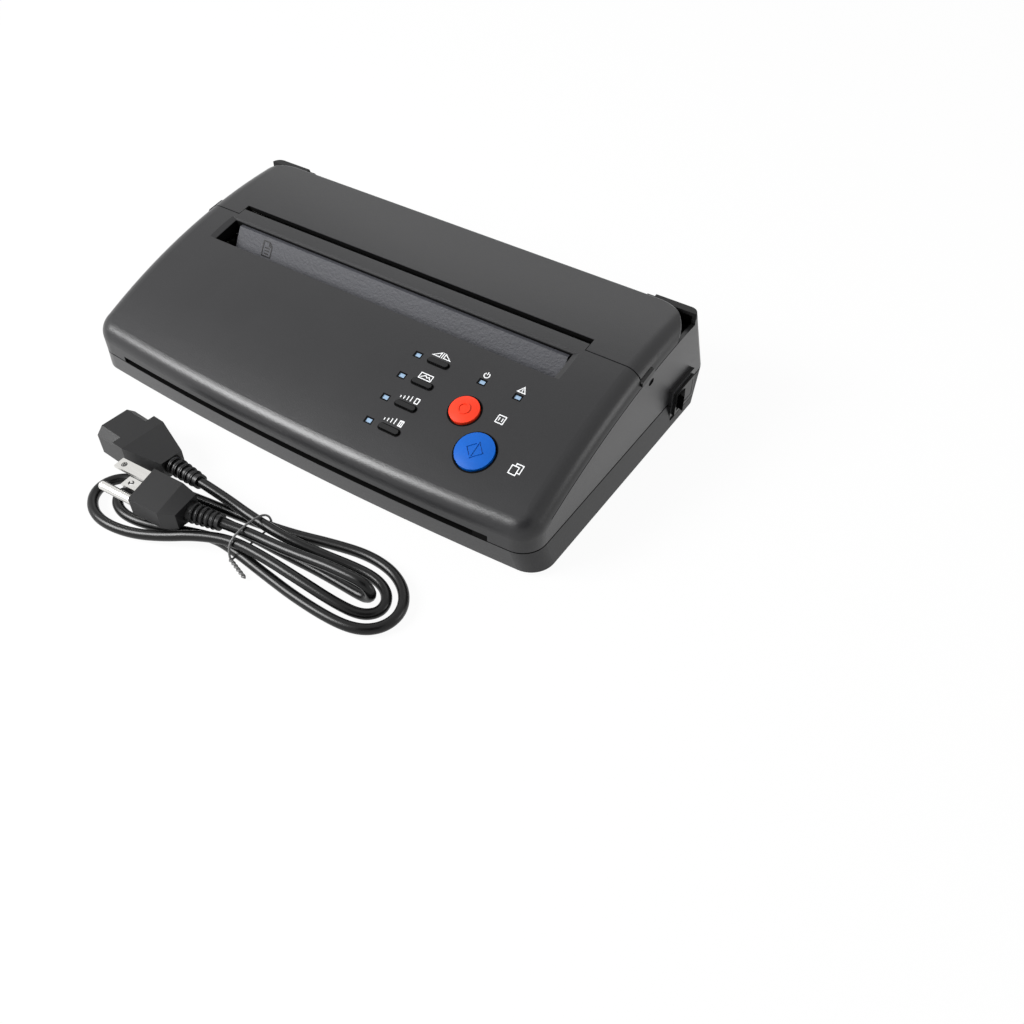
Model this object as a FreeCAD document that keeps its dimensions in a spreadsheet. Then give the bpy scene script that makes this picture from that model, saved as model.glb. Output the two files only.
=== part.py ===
import FreeCAD, Part
import math
import os
from types import SimpleNamespace

import Sketcher
from FreeCAD import Placement, Rotation, Vector

# Thermal stencil copier, millimetres. Origin on the floor under the middle of the case.
# +X right, +Y back, +Z up.

SIZES = {
    # Case
    "caseWidth": 300.0, "caseDepth": 181.0, "flare": 3.7, "footHeight": 3.0, "seamHeight": 15.8,
    "frontBow": 5.4, "cornerRound": 13.0, "skinRound": 10.0, "wall": 2.4, "floorWall": 2.5, "reveal": 0.35,
    "crownTop": 63.3, "crownBackIn": 25.9, "crownFall": 34.91, "seamDrop": 8.4, "overrun": 20.0,
    "trayFrontInset": 1.8, "trayRearInset": 15.5, "trayRearRound": 9.0,
    # Panel and the slots round it
    "frameFrontIn": 22.0, "seamYIn": 77.2, "tongueYIn": 72.2, "slotBackYIn": 68.3, "slotLeftIn": 28.5,
    "slotRightIn": 37.0, "exitLeftIn": 28.0, "exitRightIn": 35.6, "exitHeight": 3.5, "coverGap": 0.7,
    "recessLeftIn": 29.5, "recessRightIn": 41.2, "recessFrontIn": 99.7, "recessBackIn": 80.9,
    "recessBottom": 50.5, "recessWall": 2.0, "bevelSide": 3.4, "bevelBack": 0.9, "bevelDepth": 1.2,
    "panelBossXIn": 19.0, "panelBossYIn": 20.5, "panelTabFrontIn": 130.5, "panelTabLong": 20.0,
    "panelTabThick": 2.0, "panelTabDrop": 8.0,
    # Guide plate in the recess
    "guideTopYIn": 83.2, "guideTopZ": 56.6, "guideFootYIn": 103.5, "guideFootZ": 24.6, "guideThick": 2.0,
    "guideLeftIn": 34.5, "guideRightIn": 43.0, "guideStepZ": 44.0,
    # Cover and its hinge
    "coverBackIn": 22.0, "coverRound": 21.0, "hingeYIn": 18.5, "hingeZ": 58.4, "pinRadius": 1.2,
    "pinFit": 0.05, "lugRadius": 2.3, "lugWidth": 4.2, "lugGap": 0.4, "lugReach": 10.0, "headPostXIn": 50.0,
    # Rear wall and ears
    "ridgeZ": 17.5, "earInnerIn": 29.5, "earFrontIn": 21.2, "earBackIn": 16.5, "earTop": 61.2,
    "earWall": 1.9, "rearTop": 57.2, "rearLip": 1.8, "rearRound": 5.0, "notchGap": 0.7, "ledgeZ": 48.0,
    "ledgeThick": 1.6, "ledgeFrontIn": 34.5, "rearSlotBottom": 43.0, "rearSlotHeight": 5.0,
    "rearSlotLeftIn": 34.0, "rearSlotRightIn": 38.0,
    # Side plates
    "plateXIn": 28.0, "plateThick": 1.2, "plateFrontIn": 146.5, "plateBackIn": 28.5, "plateTop": 48.0,
    "plateShoulderYIn": 110.5, "plateFrontTop": 33.0, "plateFoot": 7.0, "plateFootFrontIn": 110.5,
    "plateFootBackIn": 80.5, "bushWall": 1.2, "bushFlange": 1.6, "bushFlangeThick": 1.2, "bushLength": 3.6,
    # Scan section
    "scanYIn": 117.5, "scanZ": 26.5, "scanRadius": 7.0, "scanShaft": 2.5, "scanLengthIn": 35.0,
    "runningFit": 0.05, "scanBarDepth": 19.0, "scanBarHigh": 9.3, "scanBarLift": 3.5,
    "scanBarLengthIn": 32.0, "glassThick": 0.9, "glassMargin": 3.0, "cradleWide": 8.0, "cradleXIn": 50.0,
    "chuteFrontTop": 16.9, "chuteBackTop": 18.5, "chuteThick": 1.0, "chuteBackYIn": 128.1,
    "chuteLeftIn": 32.0, "chuteRightIn": 39.0, "chuteRib": 1.4, "chuteRibFrontYIn": 9.1,
    "chuteRibBackYIn": 132.9,
    # Print section
    "platenYIn": 59.5, "platenZ": 38.0, "platenRadius": 8.0, "platenShaft": 3.0, "headGap": 0.3,
    "headThick": 1.2, "headDepth": 14.0, "headLengthIn": 36.0, "sinkThick": 5.0, "sinkDepth": 20.0,
    "sinkLengthIn": 32.0, "finCount": 5.0, "finGap": 2.0, "finDeep": 3.0, "headPostRadius": 3.0,
    # Gear trains
    "toothModule": 0.6, "gearWidth": 4.6, "gearOut": 2.0, "scanTeeth": 50.0, "printTeeth": 56.0,
    "pinionTeeth": 12.0, "scanMotorDrop": 4.5, "printMotorDrop": 14.4, "motorRadius": 10.0,
    "motorLength": 18.0, "motorShaft": 1.0, "motorCap": 4.0, "motorCapThick": 1.6, "shaftHole": 2.6,
    "shaftOut": 1.4,
    # Boards
    "boardThick": 1.6, "standoff": 2.6, "standoffRadius": 2.4, "pegThin": 1.2, "pegHead": 0.7,
    "mainLeftIn": 190.0, "mainRightIn": 31.5, "mainFrontIn": 169.5, "mainBackIn": 134.5,
    "powerLeftIn": 214.0, "powerRightIn": 92.0, "powerFrontIn": 45.5, "powerBackIn": 19.5,
    "boardInset": 4.0, "chipHigh": 1.8, "chipSpan": 12.0, "chipPitch": 24.0, "coilHigh": 17.0,
    "coilWide": 20.0, "canRadius": 6.5, "canHigh": 18.0, "canPitch": 17.0, "cableWide": 5.0,
    "cableThick": 0.4, "cableLeftIn": 37.6, "cableYIn": 148.5, "cableBow": 1.8,
    # Controls on the panel
    "ledXIn": 110.4, "rowFirstYIn": 117.7, "rowStep": 13.85, "ledLong": 3.5, "ledWide": 2.4, "ledSunk": 0.5,
    "ledRim": 0.7, "ledPipe": 7.0, "keyXIn": 97.7, "keyLong": 11.8, "keyWide": 2.6, "keyProud": 1.3,
    "keyClear": 0.3, "keyRim": 0.6, "keyTravel": 0.5, "stemRadius": 1.15, "stemClear": 0.3, "collar": 0.9,
    "powerLedXIn": 71.0, "errorLedXIn": 50.0, "stopXIn": 69.1, "stopYIn": 135.3, "stopRadius": 7.8,
    "stopWell": 9.0, "copyXIn": 51.6, "copyYIn": 151.8, "copyRadius": 10.1, "copyWell": 11.3,
    "domeRise": 0.9, "capProud": 1.3, "capDepth": 2.6, "wellDepth": 5.0, "wellFloor": 1.0, "wellWall": 0.7,
    "pressTravel": 0.8, "markRise": 0.3, "markStroke": 0.8, "markSpan": 3.3, "panelBoardDrop": 12.5,
    "boardLeftRim": 11.6, "boardRightRim": 21.6, "boardFrontRim": 13.7, "boardBackRim": 10.2,
    "tactHigh": 3.2, "tactSpan": 6.0, "tactGap": 0.3,
    # Release buttons at the side seam
    "releaseYIn": 71.9, "releaseLong": 12.7, "releaseHigh": 3.2, "releaseRise": 1.8, "releaseThick": 2.6,
    "releaseProud": 0.6, "releaseTravel": 1.2, "releaseClear": 0.3, "releaseStem": 8.4,
    "releaseStemWide": 5.0, "releaseStemHigh": 2.2, "guideWide": 11.0, "guideDepth": 2.0, "guideIn": 6.6,
    "guideFoot": 12.0, "guideCap": 1.4, "dimpleYIn": 67.2, "dimpleZ": 47.7, "dimpleLong": 5.0,
    "dimpleHigh": 3.4, "dimpleDeep": 0.9, "hookXIn": 17.4, "hookWide": 6.0, "hookThick": 2.0,
    "hookDrop": 13.0, "hookNose": 1.0, "hookNoseHigh": 2.0,
    # Rocker switch
    "switchYIn": 30.2, "switchZ": 15.9, "bezelLong": 21.0, "bezelHigh": 14.2, "bezelThick": 1.6,
    "padXIn": 1.6, "padMargin": 2.2, "padDeep": 5.6, "switchBodyLong": 19.0, "switchBodyHigh": 12.6,
    "switchDepth": 15.0, "openLong": 17.6, "openHigh": 10.0, "openDeep": 7.0, "rockerHigh": 9.6,
    "rockerLong": 16.0, "rockerTilt": 11.0, "rockerAxisIn": 0.3, "rockerWing": 3.4, "rockerMid": 1.7,
    "rockerIn": 4.0, "axleRadius": 1.0, "axleReach": 0.9, "tabThick": 0.8, "tabWide": 4.6, "tabLong": 7.0,
    "tabPitch": 6.0,
    # Mains inlet
    "inletXIn": 54.0, "inletZ": 28.5, "inletWide": 24.6, "inletHigh": 16.6, "inletWall": 1.4,
    "inletFloorYIn": 12.0, "inletDeep": 17.0, "inletRim": 1.8, "inletRimThick": 1.6, "inletChamfer": 4.5,
    "pocketSideGap": 0.5, "pocketEdgeGap": 0.2, "pocketWall": 1.8, "pinWide": 4.0, "pinThick": 2.0,
    "pinPitch": 7.0, "pinEarthLift": 4.0, "pinLong": 24.0, "inletTail": 6.0,
    # Feet and screws
    "footRadius": 7.0, "footXIn": 26.0, "footFrontYIn": 28.5, "footBackYIn": 40.5, "pegRadius": 2.0,
    "screwHead": 2.8, "screwHeadThick": 1.6, "screwShank": 1.4, "screwReach": 14.0, "bossRadius": 3.0,
    "frameBossXIn": 9.4, "frameBossFrontYIn": 36.5, "frameBossBackYIn": 54.5, "bossTop": 27.0,
    # Mains lead, its plugs and its tie
    "cordDiameter": 5.4, "socketWide": 24.0, "socketHigh": 16.0, "socketLong": 16.0, "socketChamfer": 4.0,
    "gripLong": 7.5, "gripWide": 26.4, "gripHigh": 17.0, "shoulderLong": 20.0, "shoulderBite": 2.0,
    "shoulderWide": 13.0, "shoulderHigh": 11.0, "reliefLong": 23.0, "reliefRadius": 5.0, "reliefTip": 3.9,
    "ribDeep": 0.8, "ribCount": 5.0, "contactWide": 5.0, "contactHigh": 2.2, "contactDeep": 16.0,
    "contactPitch": 7.0, "contactLift": 4.0, "plugX": -8.0, "plugNear": -162.0, "plugFar": -143.0,
    "plugMidZ": 15.5, "plugLong": 27.0, "plugFarHigh": 19.0, "plugNearHigh": 10.0, "plugTaper": 8.0,
    "plugYaw": 2.0, "bootLong": 17.0, "bootRadius": 5.2, "bootTip": 4.2, "bladeLong": 21.0,
    "bladeWide": 6.3, "bladeThick": 1.5, "bladePitch": 12.7, "bladeInset": 4.0, "bladeHole": 1.6,
    "earthRadius": 2.4, "earthExtra": 3.0, "earthOffset": 11.9, "tieRadius": 0.4,
}

doc = FreeCAD.newDocument("StencilCopier")
sheet = doc.addObject("Spreadsheet::Sheet", "Sizes")
for row, (name, number) in enumerate(SIZES.items(), start=1):
    sheet.set(f"A{row}", name)
    sheet.set(f"B{row}", str(number))
    sheet.setAlias(f"B{row}", name)
doc.recompute()


class Size:
    # A length and the sheet expression that gives it.
    def __init__(self, value, text):
        self.value = value
        self.text = text

    def joined(self, other, sign, value):
        return Size(value, f"({self.text} {sign} {size(other).text})")

    def __add__(self, other):
        return self.joined(other, "+", self.value + size(other).value)

    def __sub__(self, other):
        return self.joined(other, "-", self.value - size(other).value)

    def __mul__(self, other):
        return self.joined(other, "*", self.value * size(other).value)

    def __truediv__(self, other):
        return self.joined(other, "/", self.value / size(other).value)

    def __radd__(self, other):
        return size(other) + self

    def __rsub__(self, other):
        return size(other) - self

    def __rmul__(self, other):
        return size(other) * self

    def __neg__(self):
        return Size(-self.value, f"(-1 * {self.text})")

    def root(self):
        return Size(math.sqrt(self.value), f"sqrt({self.text})")


def size(amount):
    return amount if isinstance(amount, Size) else Size(float(amount), repr(float(amount)))


S = SimpleNamespace(**{name: Size(number, "Sizes." + name) for name, number in SIZES.items()})

halfCase = S.caseWidth / 2
halfBody = halfCase - S.flare
ridgeY = S.caseDepth / 2
frontY = -ridgeY

# Places that follow the case. The size with In after its name is the distance inwards from that edge.
for name in (
    "slotRight", "exitRight", "recessRight", "panelBossX", "guideRight", "headPostX", "earInner",
    "rearSlotRight", "plateX", "cradleX", "chuteRight", "mainLeft", "mainRight", "powerLeft",
    "powerRight", "cableLeft", "ledX", "keyX", "powerLedX", "errorLedX", "stopX", "copyX", "hookX",
    "padX", "inletX", "footX", "frameBossX"):
    setattr(S, name, halfCase - getattr(S, name + "In"))
for name in (
    "slotLeft", "exitLeft", "recessLeft", "guideLeft", "rearSlotLeft", "chuteLeft"):
    setattr(S, name, getattr(S, name + "In") - halfCase)
for name in (
    "crownBack", "seamY", "tongueY", "slotBackY", "recessFront", "recessBack", "guideTopY",
    "guideFootY", "coverBack", "hingeY", "earFront", "earBack", "ledgeFront", "plateFront",
    "plateBack", "plateShoulderY", "plateFootFront", "plateFootBack", "scanY", "platenY", "chuteBackY",
    "chuteRibBackY", "mainFront", "mainBack", "powerFront", "powerBack", "cableY", "rowFirstY",
    "stopY", "copyY", "panelTabFront", "releaseY", "dimpleY", "switchY", "inletFloorY", "footBackY",
    "frameBossBackY"):
    setattr(S, name, ridgeY - getattr(S, name + "In"))
for name in (
    "frameFront", "panelBossY", "chuteRibFrontY", "footFrontY", "frameBossFrontY"):
    setattr(S, name, frontY + getattr(S, name + "In"))
for name in (
    "scanLength", "scanBarLength", "headLength", "sinkLength"):
    setattr(S, name, S.caseWidth - 2 * getattr(S, name + "In"))

# The crown falls by crownFall from its crest to the front edge.
crownReach = S.crownBack - frontY
S.crownRadius = (crownReach * crownReach + S.crownFall * S.crownFall) / (2 * S.crownFall)

# The panel board reaches past the lights and the copy button. The pocket takes the flange of the inlet.
panelBoardLeft = S.ledX - S.boardLeftRim
panelBoardFront = S.copyY - S.boardFrontRim
S.panelBoardLong = S.copyX + S.boardRightRim - panelBoardLeft
S.panelBoardWide = S.rowFirstY + S.boardBackRim - panelBoardFront
S.panelBoardX = panelBoardLeft + S.panelBoardLong / 2
S.panelBoardY = panelBoardFront + S.panelBoardWide / 2
S.pocketWide = S.inletWide + 2 * (S.inletWall + S.inletRim + S.pocketSideGap)
S.pocketHigh = S.inletHigh + 2 * (S.inletWall + S.inletRim + S.pocketEdgeGap)
floorTop = S.footHeight + S.floorWall
insideX = halfBody - S.wall
biteShare = 0.4


def crown(y, drop=0):
    # Height of the crowned top at y, or of a line that runs a drop below it.
    radius = S.crownRadius - drop
    reach = y - S.crownBack
    return S.crownTop - S.crownRadius + (radius * radius - reach * reach).root()


def crownTilt(y):
    return math.degrees(math.asin((S.crownBack.value - y.value) / S.crownRadius.value))


def onCrown(x, y):
    # Local frame on the crowned top: z points out of the skin.
    return Placement(Vector(x.value, y.value, crown(y).value), Rotation(Vector(1, 0, 0), crownTilt(y)))


def onSide(side, y, z, tilt=0):
    # Local frame on a side wall: x runs back, z points out of the wall.
    basis = Rotation(Vector(0, 1, 0), Vector(0, 0, side), Vector(side, 0, 0), "XYZ")
    return Placement(Vector(side * halfBody.value, y.value, z.value), Rotation(Vector(1, 0, 0), tilt) * basis)


# Builders


def bind(item, name, amount):
    item.setExpression(name, size(amount).text)


def standAt(item, corner):
    for letter, amount in zip("xyz", corner):
        bind(item, "Placement.Base." + letter, amount)
    return item


def block(name, low, high):
    # A box between two opposite corners
    item = doc.addObject("Part::Box", name)
    for side, a, b in zip(("Length", "Width", "Height"), low, high):
        bind(item, side, size(b) - a)
    return standAt(item, low)


TURNS = {"X": Rotation(Vector(0, 1, 0), 90), "Y": Rotation(Vector(1, 0, 0), -90), "Z": Rotation()}


def rod(name, radius, length, start, axis="Z"):
    item = doc.addObject("Part::Cylinder", name)
    item.Placement = Placement(Vector(), TURNS[axis])
    bind(item, "Radius", radius)
    bind(item, "Height", length)
    return standAt(item, start)


def cone(name, low, high, length, start, axis="Z"):
    item = doc.addObject("Part::Cone", name)
    item.Placement = Placement(Vector(), TURNS[axis])
    bind(item, "Radius1", low)
    bind(item, "Radius2", high)
    bind(item, "Height", length)
    return standAt(item, start)


def ball(name, radius, middle):
    item = doc.addObject("Part::Sphere", name)
    bind(item, "Radius", radius)
    return standAt(item, middle)


def fuse(name, *pieces):
    item = doc.addObject("Part::MultiFuse", name)
    item.Shapes = list(pieces)
    item.Refine = True
    return item


def group(name, *pieces):
    item = doc.addObject("Part::Compound", name)
    item.Links = list(pieces)
    return item


def placed(name, place, *pieces):
    item = group(name, *pieces)
    item.Placement = place
    return item


def cut(name, base, *tools):
    item = doc.addObject("Part::Cut", name)
    item.Base = base
    item.Tool = tools[0] if len(tools) == 1 else fuse(name + "Tools", *tools)
    return item


def common(name, first, second):
    item = doc.addObject("Part::MultiCommon", name)
    item.Shapes = [first, second]
    return item


def rounded(name, base, *picks):
    # picks: pairs of a test on an edge and the radius of its fillet
    doc.recompute()
    item = doc.addObject("Part::Fillet", name)
    item.Base = base
    edges = []
    for number, edge in enumerate(base.Shape.Edges, start=1):
        for test, radius in picks:
            if test(edge):
                edges.append((number, size(radius).value, size(radius).value))
                break
    item.Edges = edges
    return item


def middleOf(edge):
    return edge.valueAt((edge.FirstParameter + edge.LastParameter) / 2)


def draw(sketch, outline, bends):
    # A closed outline, counter-clockwise. bends: side number -> radius of an arc that bulges outwards.
    points = [Vector(size(u).value, size(v).value, 0) for u, v in outline]
    count = len(points)
    for side, start in enumerate(points):
        end = points[(side + 1) % count]
        if side in bends:
            radius = size(bends[side]).value
            chord = end - start
            inward = Vector(-chord.y, chord.x, 0).normalize()
            centre = (start + end) / 2 + inward * math.sqrt(radius ** 2 - (chord.Length / 2) ** 2)
            first = math.atan2(start.y - centre.y, start.x - centre.x)
            last = math.atan2(end.y - centre.y, end.x - centre.x)
            circle = Part.Circle(centre, Vector(0, 0, 1), radius)
            sketch.addGeometry(Part.ArcOfCircle(circle, first, last), False)
        else:
            sketch.addGeometry(Part.LineSegment(start, end), False)
    for side in range(count):
        sketch.addConstraint(Sketcher.Constraint("Coincident", side, 2, (side + 1) % count, 1))
    for side, (u, v) in enumerate(outline):
        for kind, amount in (("DistanceX", size(u)), ("DistanceY", size(v))):
            number = sketch.addConstraint(Sketcher.Constraint(kind, -1, 1, side, 1, amount.value))
            sketch.setExpression(f"Constraints[{number}]", amount.text)
    for side, radius in bends.items():
        number = sketch.addConstraint(Sketcher.Constraint("Radius", side, size(radius).value))
        sketch.setExpression(f"Constraints[{number}]", size(radius).text)


def sketchOn(body, name, plane, offset):
    sketch = body.newObject("Sketcher::SketchObject", name)
    support = [item for item in body.Origin.OriginFeatures if item.Role == plane + "_Plane"][0]
    sketch.AttachmentSupport = (support, [""])
    sketch.MapMode = "FlatFace"
    bind(sketch, "AttachmentOffset.Base.z", offset)
    return sketch


def prism(name, plane, outline, start, length, bends=None):
    # XY grows along +Z from points x, y. YZ grows along +X from points y, z.
    # XZ grows along -Y from points x, z.
    body = doc.addObject("PartDesign::Body", name)
    sketch = sketchOn(body, name + "Sketch", plane, start)
    draw(sketch, outline, bends or {})
    pad = body.newObject("PartDesign::Pad", name + "Pad")
    pad.Profile = sketch
    bind(pad, "Length", length)
    return body


def loft(name, plane, lower, upper, start, height, lowBends=None, highBends=None):
    body = doc.addObject("PartDesign::Body", name)
    first = sketchOn(body, name + "Low", plane, start)
    draw(first, lower, lowBends or {})
    second = sketchOn(body, name + "High", plane, start + height)
    draw(second, upper, highBends or {})
    solid = body.newObject("PartDesign::AdditiveLoft", name + "Loft")
    solid.Profile = first
    solid.Sections = [second]
    solid.Ruled = True
    return body


def pill(name, length, width, low, high):
    # Upright pill round the local z axis, long side along x
    straight = (length - width) / 2
    bar = block(name + "Bar", (-straight, -width / 2, low), (straight, width / 2, high))
    ends = [rod(f"{name}End{side}", width / 2, size(high) - low, (side * straight, 0, low))
            for side in (-1, 1)]
    return fuse(name, bar, *ends)


def rectangle(left, right, front, back):
    return [(left, front), (right, front), (right, back), (left, back)]


nodes = []


def node(label, item):
    item.Label = label
    nodes.append(item)
    return item


# Outer skin that the panel and the cover share: a crowned top over a bowed front

high = S.crownTop + S.overrun
farBack = ridgeY + S.overrun
farFront = frontY - S.overrun


uprightShare = 0.99


def skin(name, inset):
    half = halfBody - inset
    front = frontY + inset
    bow = (half * half + S.frontBow * S.frontBow) / (2 * S.frontBow)
    plan = prism(name + "Plan", "XY", rectangle(-half, half, front + S.frontBow, farBack), S.seamHeight,
                 S.crownTop, {0: bow})
    profile = [(front, S.seamHeight), (farBack, S.seamHeight), (farBack, crown(farBack, inset)),
               (front, crown(front, inset))]
    side = prism(name + "Side", "YZ", profile, -half, 2 * half, {2: S.crownRadius - inset})
    form = common(name + "Form", plan, side)
    cornerBack = front.value + S.frontBow.value + S.wall.value

    def upright(edge):
        return abs(edge.tangentAt(edge.FirstParameter).z) > uprightShare and middleOf(edge).y < cornerBack

    def topEdge(edge):
        middle = middleOf(edge)
        onTop = abs(middle.z - crown(size(middle.y), inset).value) < S.reveal.value / 4
        return onTop and middle.y < farBack.value - S.wall.value

    corners = rounded(name + "Corners", form, (upright, S.cornerRound - inset))
    return rounded(name, corners, (topEdge, S.skinRound - inset))


skinOuter = skin("skinOuter", size(0))
skinInner = skin("skinInner", S.wall)


def belowSeam(name, gap):
    # Everything under the line where the skirts meet the side walls
    drop = S.seamDrop + gap
    outline = [(S.frameFront - gap, 0), (farBack, 0), (farBack, crown(farBack, drop)),
               (S.frameFront - gap, crown(S.frameFront - gap, drop))]
    return prism(name, "YZ", outline, -halfCase, S.caseWidth, {2: S.crownRadius - drop})


underSeam = belowSeam("underSeam", size(0))

# Places of the controls on the panel

rowYs = [S.rowFirstY - number * S.rowStep for number in range(4)]
ledSpots = [(S.ledX, y) for y in rowYs] + [(S.powerLedX, S.rowFirstY), (S.errorLedX, S.rowFirstY)]
boardPlace = onCrown(S.panelBoardX, S.panelBoardY)


def boardDepth(y):
    # Depth of the panel board's face under the skin at y, along the skin's normal
    reach = y - S.panelBoardY
    return S.panelBoardDrop - reach * reach / (2 * S.crownRadius)


# Side release buttons: the same pill cuts the panel, the cover and the frame

releaseTilt = crownTilt(S.releaseY)
releaseZ = crown(S.releaseY, S.seamDrop) + S.releaseRise


def releaseGap(name):
    parts = []
    for side in (-1, 1):
        grown = pill(f"{name}Pill{side}", S.releaseLong + 2 * S.releaseClear,
                     S.releaseHigh + 2 * S.releaseClear, -S.padDeep, S.wall)
        parts.append(placed(f"{name}{side}", onSide(side, S.releaseY, releaseZ, releaseTilt), grown))
    return group(name, *parts)


# Control panel

panelArea = prism("panelArea", "XY", [
    (-halfCase, farFront), (halfCase, farFront), (halfCase, S.seamY), (S.slotRight, S.seamY),
    (S.slotRight, S.tongueY), (S.slotLeft, S.tongueY), (S.slotLeft, S.seamY), (-halfCase, S.seamY)],
    S.seamHeight + S.reveal, high)
panelForm = common("panelForm", skinOuter, panelArea)
panelShell = cut("panelShell", panelForm, skinInner, underSeam)
lining = common("recessLining", skinInner, block(
    "recessLiningBlock", (S.recessLeft - S.recessWall, S.recessFront - S.recessWall, S.recessBottom),
    (S.recessRight + S.recessWall, S.recessBack + S.recessWall, high)))
recessOpening = block("recessOpening", (S.recessLeft, S.recessFront, 0), (S.recessRight, S.recessBack, high))
recessX = (S.recessLeft + S.recessRight) / 2
recessY = (S.recessFront + S.recessBack) / 2
recessHalf = (S.recessRight - S.recessLeft) / 2
recessDeep = (S.recessBack - S.recessFront) / 2
bevel = loft("recessBevel", "XY", rectangle(-recessHalf, recessHalf, -recessDeep, recessDeep),
             rectangle(-recessHalf - 2 * S.bevelSide, recessHalf + 2 * S.bevelSide, -recessDeep,
                       recessDeep + 2 * S.bevelBack), -S.bevelDepth, 2 * S.bevelDepth)
bevel.Placement = onCrown(recessX, recessY)
exitSlot = block("exitSlot", (S.exitLeft, farFront, 0), (S.exitRight, frontY + S.cornerRound,
                 S.seamHeight + S.exitHeight))
panelHoles = []
for number, (x, y) in enumerate(ledSpots):
    reach = S.ledRim + S.ledLong / 2
    hole = block(f"ledHole{number}", (-reach, -S.ledRim - S.ledWide / 2, -2 * S.wall),
                 (reach, S.ledRim + S.ledWide / 2, S.wall))
    panelHoles.append(placed(f"ledHolePlace{number}", onCrown(x, y), hole))
for number, y in enumerate(rowYs):
    rim = 2 * (S.keyClear + S.keyRim)
    hole = pill(f"keyHole{number}", S.keyLong + rim, S.keyWide + rim, -2 * S.wall, S.wall)
    panelHoles.append(placed(f"keyHolePlace{number}", onCrown(S.keyX, y), hole))
for name, x, y, radius in (("stop", S.stopX, S.stopY, S.stopWell), ("copy", S.copyX, S.copyY, S.copyWell)):
    hole = rod(name + "Hole", radius, 3 * S.wall, (0, 0, -2 * S.wall))
    panelHoles.append(placed(name + "HolePlace", onCrown(x, y), hole))
panelBosses = []
for side in (-1, 1):
    top = crown(S.panelBossY) - S.wall * (1 - biteShare)
    panelBosses.append(rod(f"panelBoss{side}", S.bossRadius, top - floorTop,
                           (side * S.panelBossX, S.panelBossY, floorTop)))
tabs = []
for side in (-1, 1):
    left = insideX - S.panelTabThick if side > 0 else -insideX
    tabTop = crown(S.panelTabFront) - 2 * S.wall
    tabBottom = crown(S.panelTabFront, S.seamDrop) - S.panelTabDrop
    tabs.append(block(f"panelTab{side}", (left, S.panelTabFront, tabBottom),
                      (left + S.panelTabThick, S.panelTabFront + S.panelTabLong, tabTop)))
postSpots = [(sx * (S.panelBoardLong / 2 - S.boardInset), sy * (S.panelBoardWide / 2 - S.boardInset))
             for sx in (-1, 1) for sy in (-1, 1)]
panelPosts = []
for number, (x, y) in enumerate(postSpots):
    post = rod(f"panelPost{number}", S.standoffRadius, S.panelBoardDrop - S.wall / 2,
               (x, y, -S.panelBoardDrop))
    peg = rod(f"panelPeg{number}", S.pegThin, S.panelBoardDrop + S.boardThick + S.pegHead - S.wall / 2,
              (x, y, -S.panelBoardDrop - S.boardThick - S.pegHead))
    panelPosts.append(placed(f"panelPostPlace{number}", boardPlace,
                             fuse(f"panelPostFuse{number}", post, peg)))
panelSolid = fuse("panelSolid", panelShell, lining, *panelPosts, *panelBosses, *tabs)
screwPilots = [rod(f"panelPilot{side}", S.screwShank, S.screwReach,
                   (side * S.panelBossX, S.panelBossY, S.footHeight)) for side in (-1, 1)]
node("control_panel", cut("controlPanel", panelSolid, recessOpening, bevel, exitSlot,
                          releaseGap("panelRelease"), *panelHoles, *screwPilots))

# Rear cover with its print head posts, hinge lugs and latch hooks

coverFront = S.seamY + S.coverGap
roundStart = S.coverBack - S.coverRound
roundX = halfBody - S.coverRound
notchLeft = S.slotLeft - S.reveal
notchRight = S.slotRight + S.reveal
coverArea = prism("coverArea", "XY", [
    (-halfBody, coverFront), (notchLeft, coverFront), (notchLeft, S.slotBackY), (notchRight, S.slotBackY),
    (notchRight, coverFront), (halfBody, coverFront), (halfBody, roundStart), (roundX, S.coverBack),
    (-roundX, S.coverBack), (-halfBody, roundStart)], 0, high, {6: S.coverRound, 8: S.coverRound})
coverForm = common("coverForm", skinOuter, coverArea)
coverShell = cut("coverShell", coverForm, skinInner, underSeam)
sinkBottom = S.platenZ + S.platenRadius + S.headGap + S.headThick
sinkTop = sinkBottom + S.sinkThick
coverPieces = []
for side in (-1, 1):
    top = crown(S.platenY) - S.wall * (1 - biteShare)
    coverPieces.append(rod(f"headPost{side}", S.headPostRadius, top - sinkTop,
                           (side * S.headPostX, S.platenY, sinkTop)))
    outer = S.earInner - S.lugGap
    left = outer - S.lugWidth if side > 0 else -outer
    armTop = crown(S.coverBack) - S.wall * (1 - biteShare)
    coverPieces.append(rod(f"lugBarrel{side}", S.lugRadius, S.lugWidth, (left, S.hingeY, S.hingeZ), "X"))
    coverPieces.append(prism(f"lugArm{side}", "YZ", [
        (S.hingeY - S.lugReach, S.hingeZ - S.lugRadius / 2), (S.hingeY, S.hingeZ - S.lugRadius),
        (S.hingeY, S.hingeZ + S.lugRadius), (S.hingeY - S.lugReach, armTop)], left, S.lugWidth))
    hookLeft = S.hookX - S.hookThick / 2 if side > 0 else -S.hookX - S.hookThick / 2
    hookTop = crown(S.releaseY) - S.wall
    hookFront = S.releaseY - S.hookWide / 2
    coverPieces.append(block(f"hook{side}", (hookLeft, hookFront, hookTop - S.hookDrop),
                             (hookLeft + S.hookThick, hookFront + S.hookWide, hookTop + S.wall / 2)))
    noseLeft = hookLeft + S.hookThick if side > 0 else hookLeft - S.hookNose
    coverPieces.append(block(f"hookNose{side}", (noseLeft, hookFront, hookTop - S.hookDrop),
                             (noseLeft + S.hookNose, hookFront + S.hookWide,
                              hookTop - S.hookDrop + S.hookNoseHigh)))
coverSolid = fuse("coverSolid", coverShell, *coverPieces)
pinHole = rod("pinHole", S.pinRadius, 2 * S.earInner, (-S.earInner, S.hingeY, S.hingeZ), "X")
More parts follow.
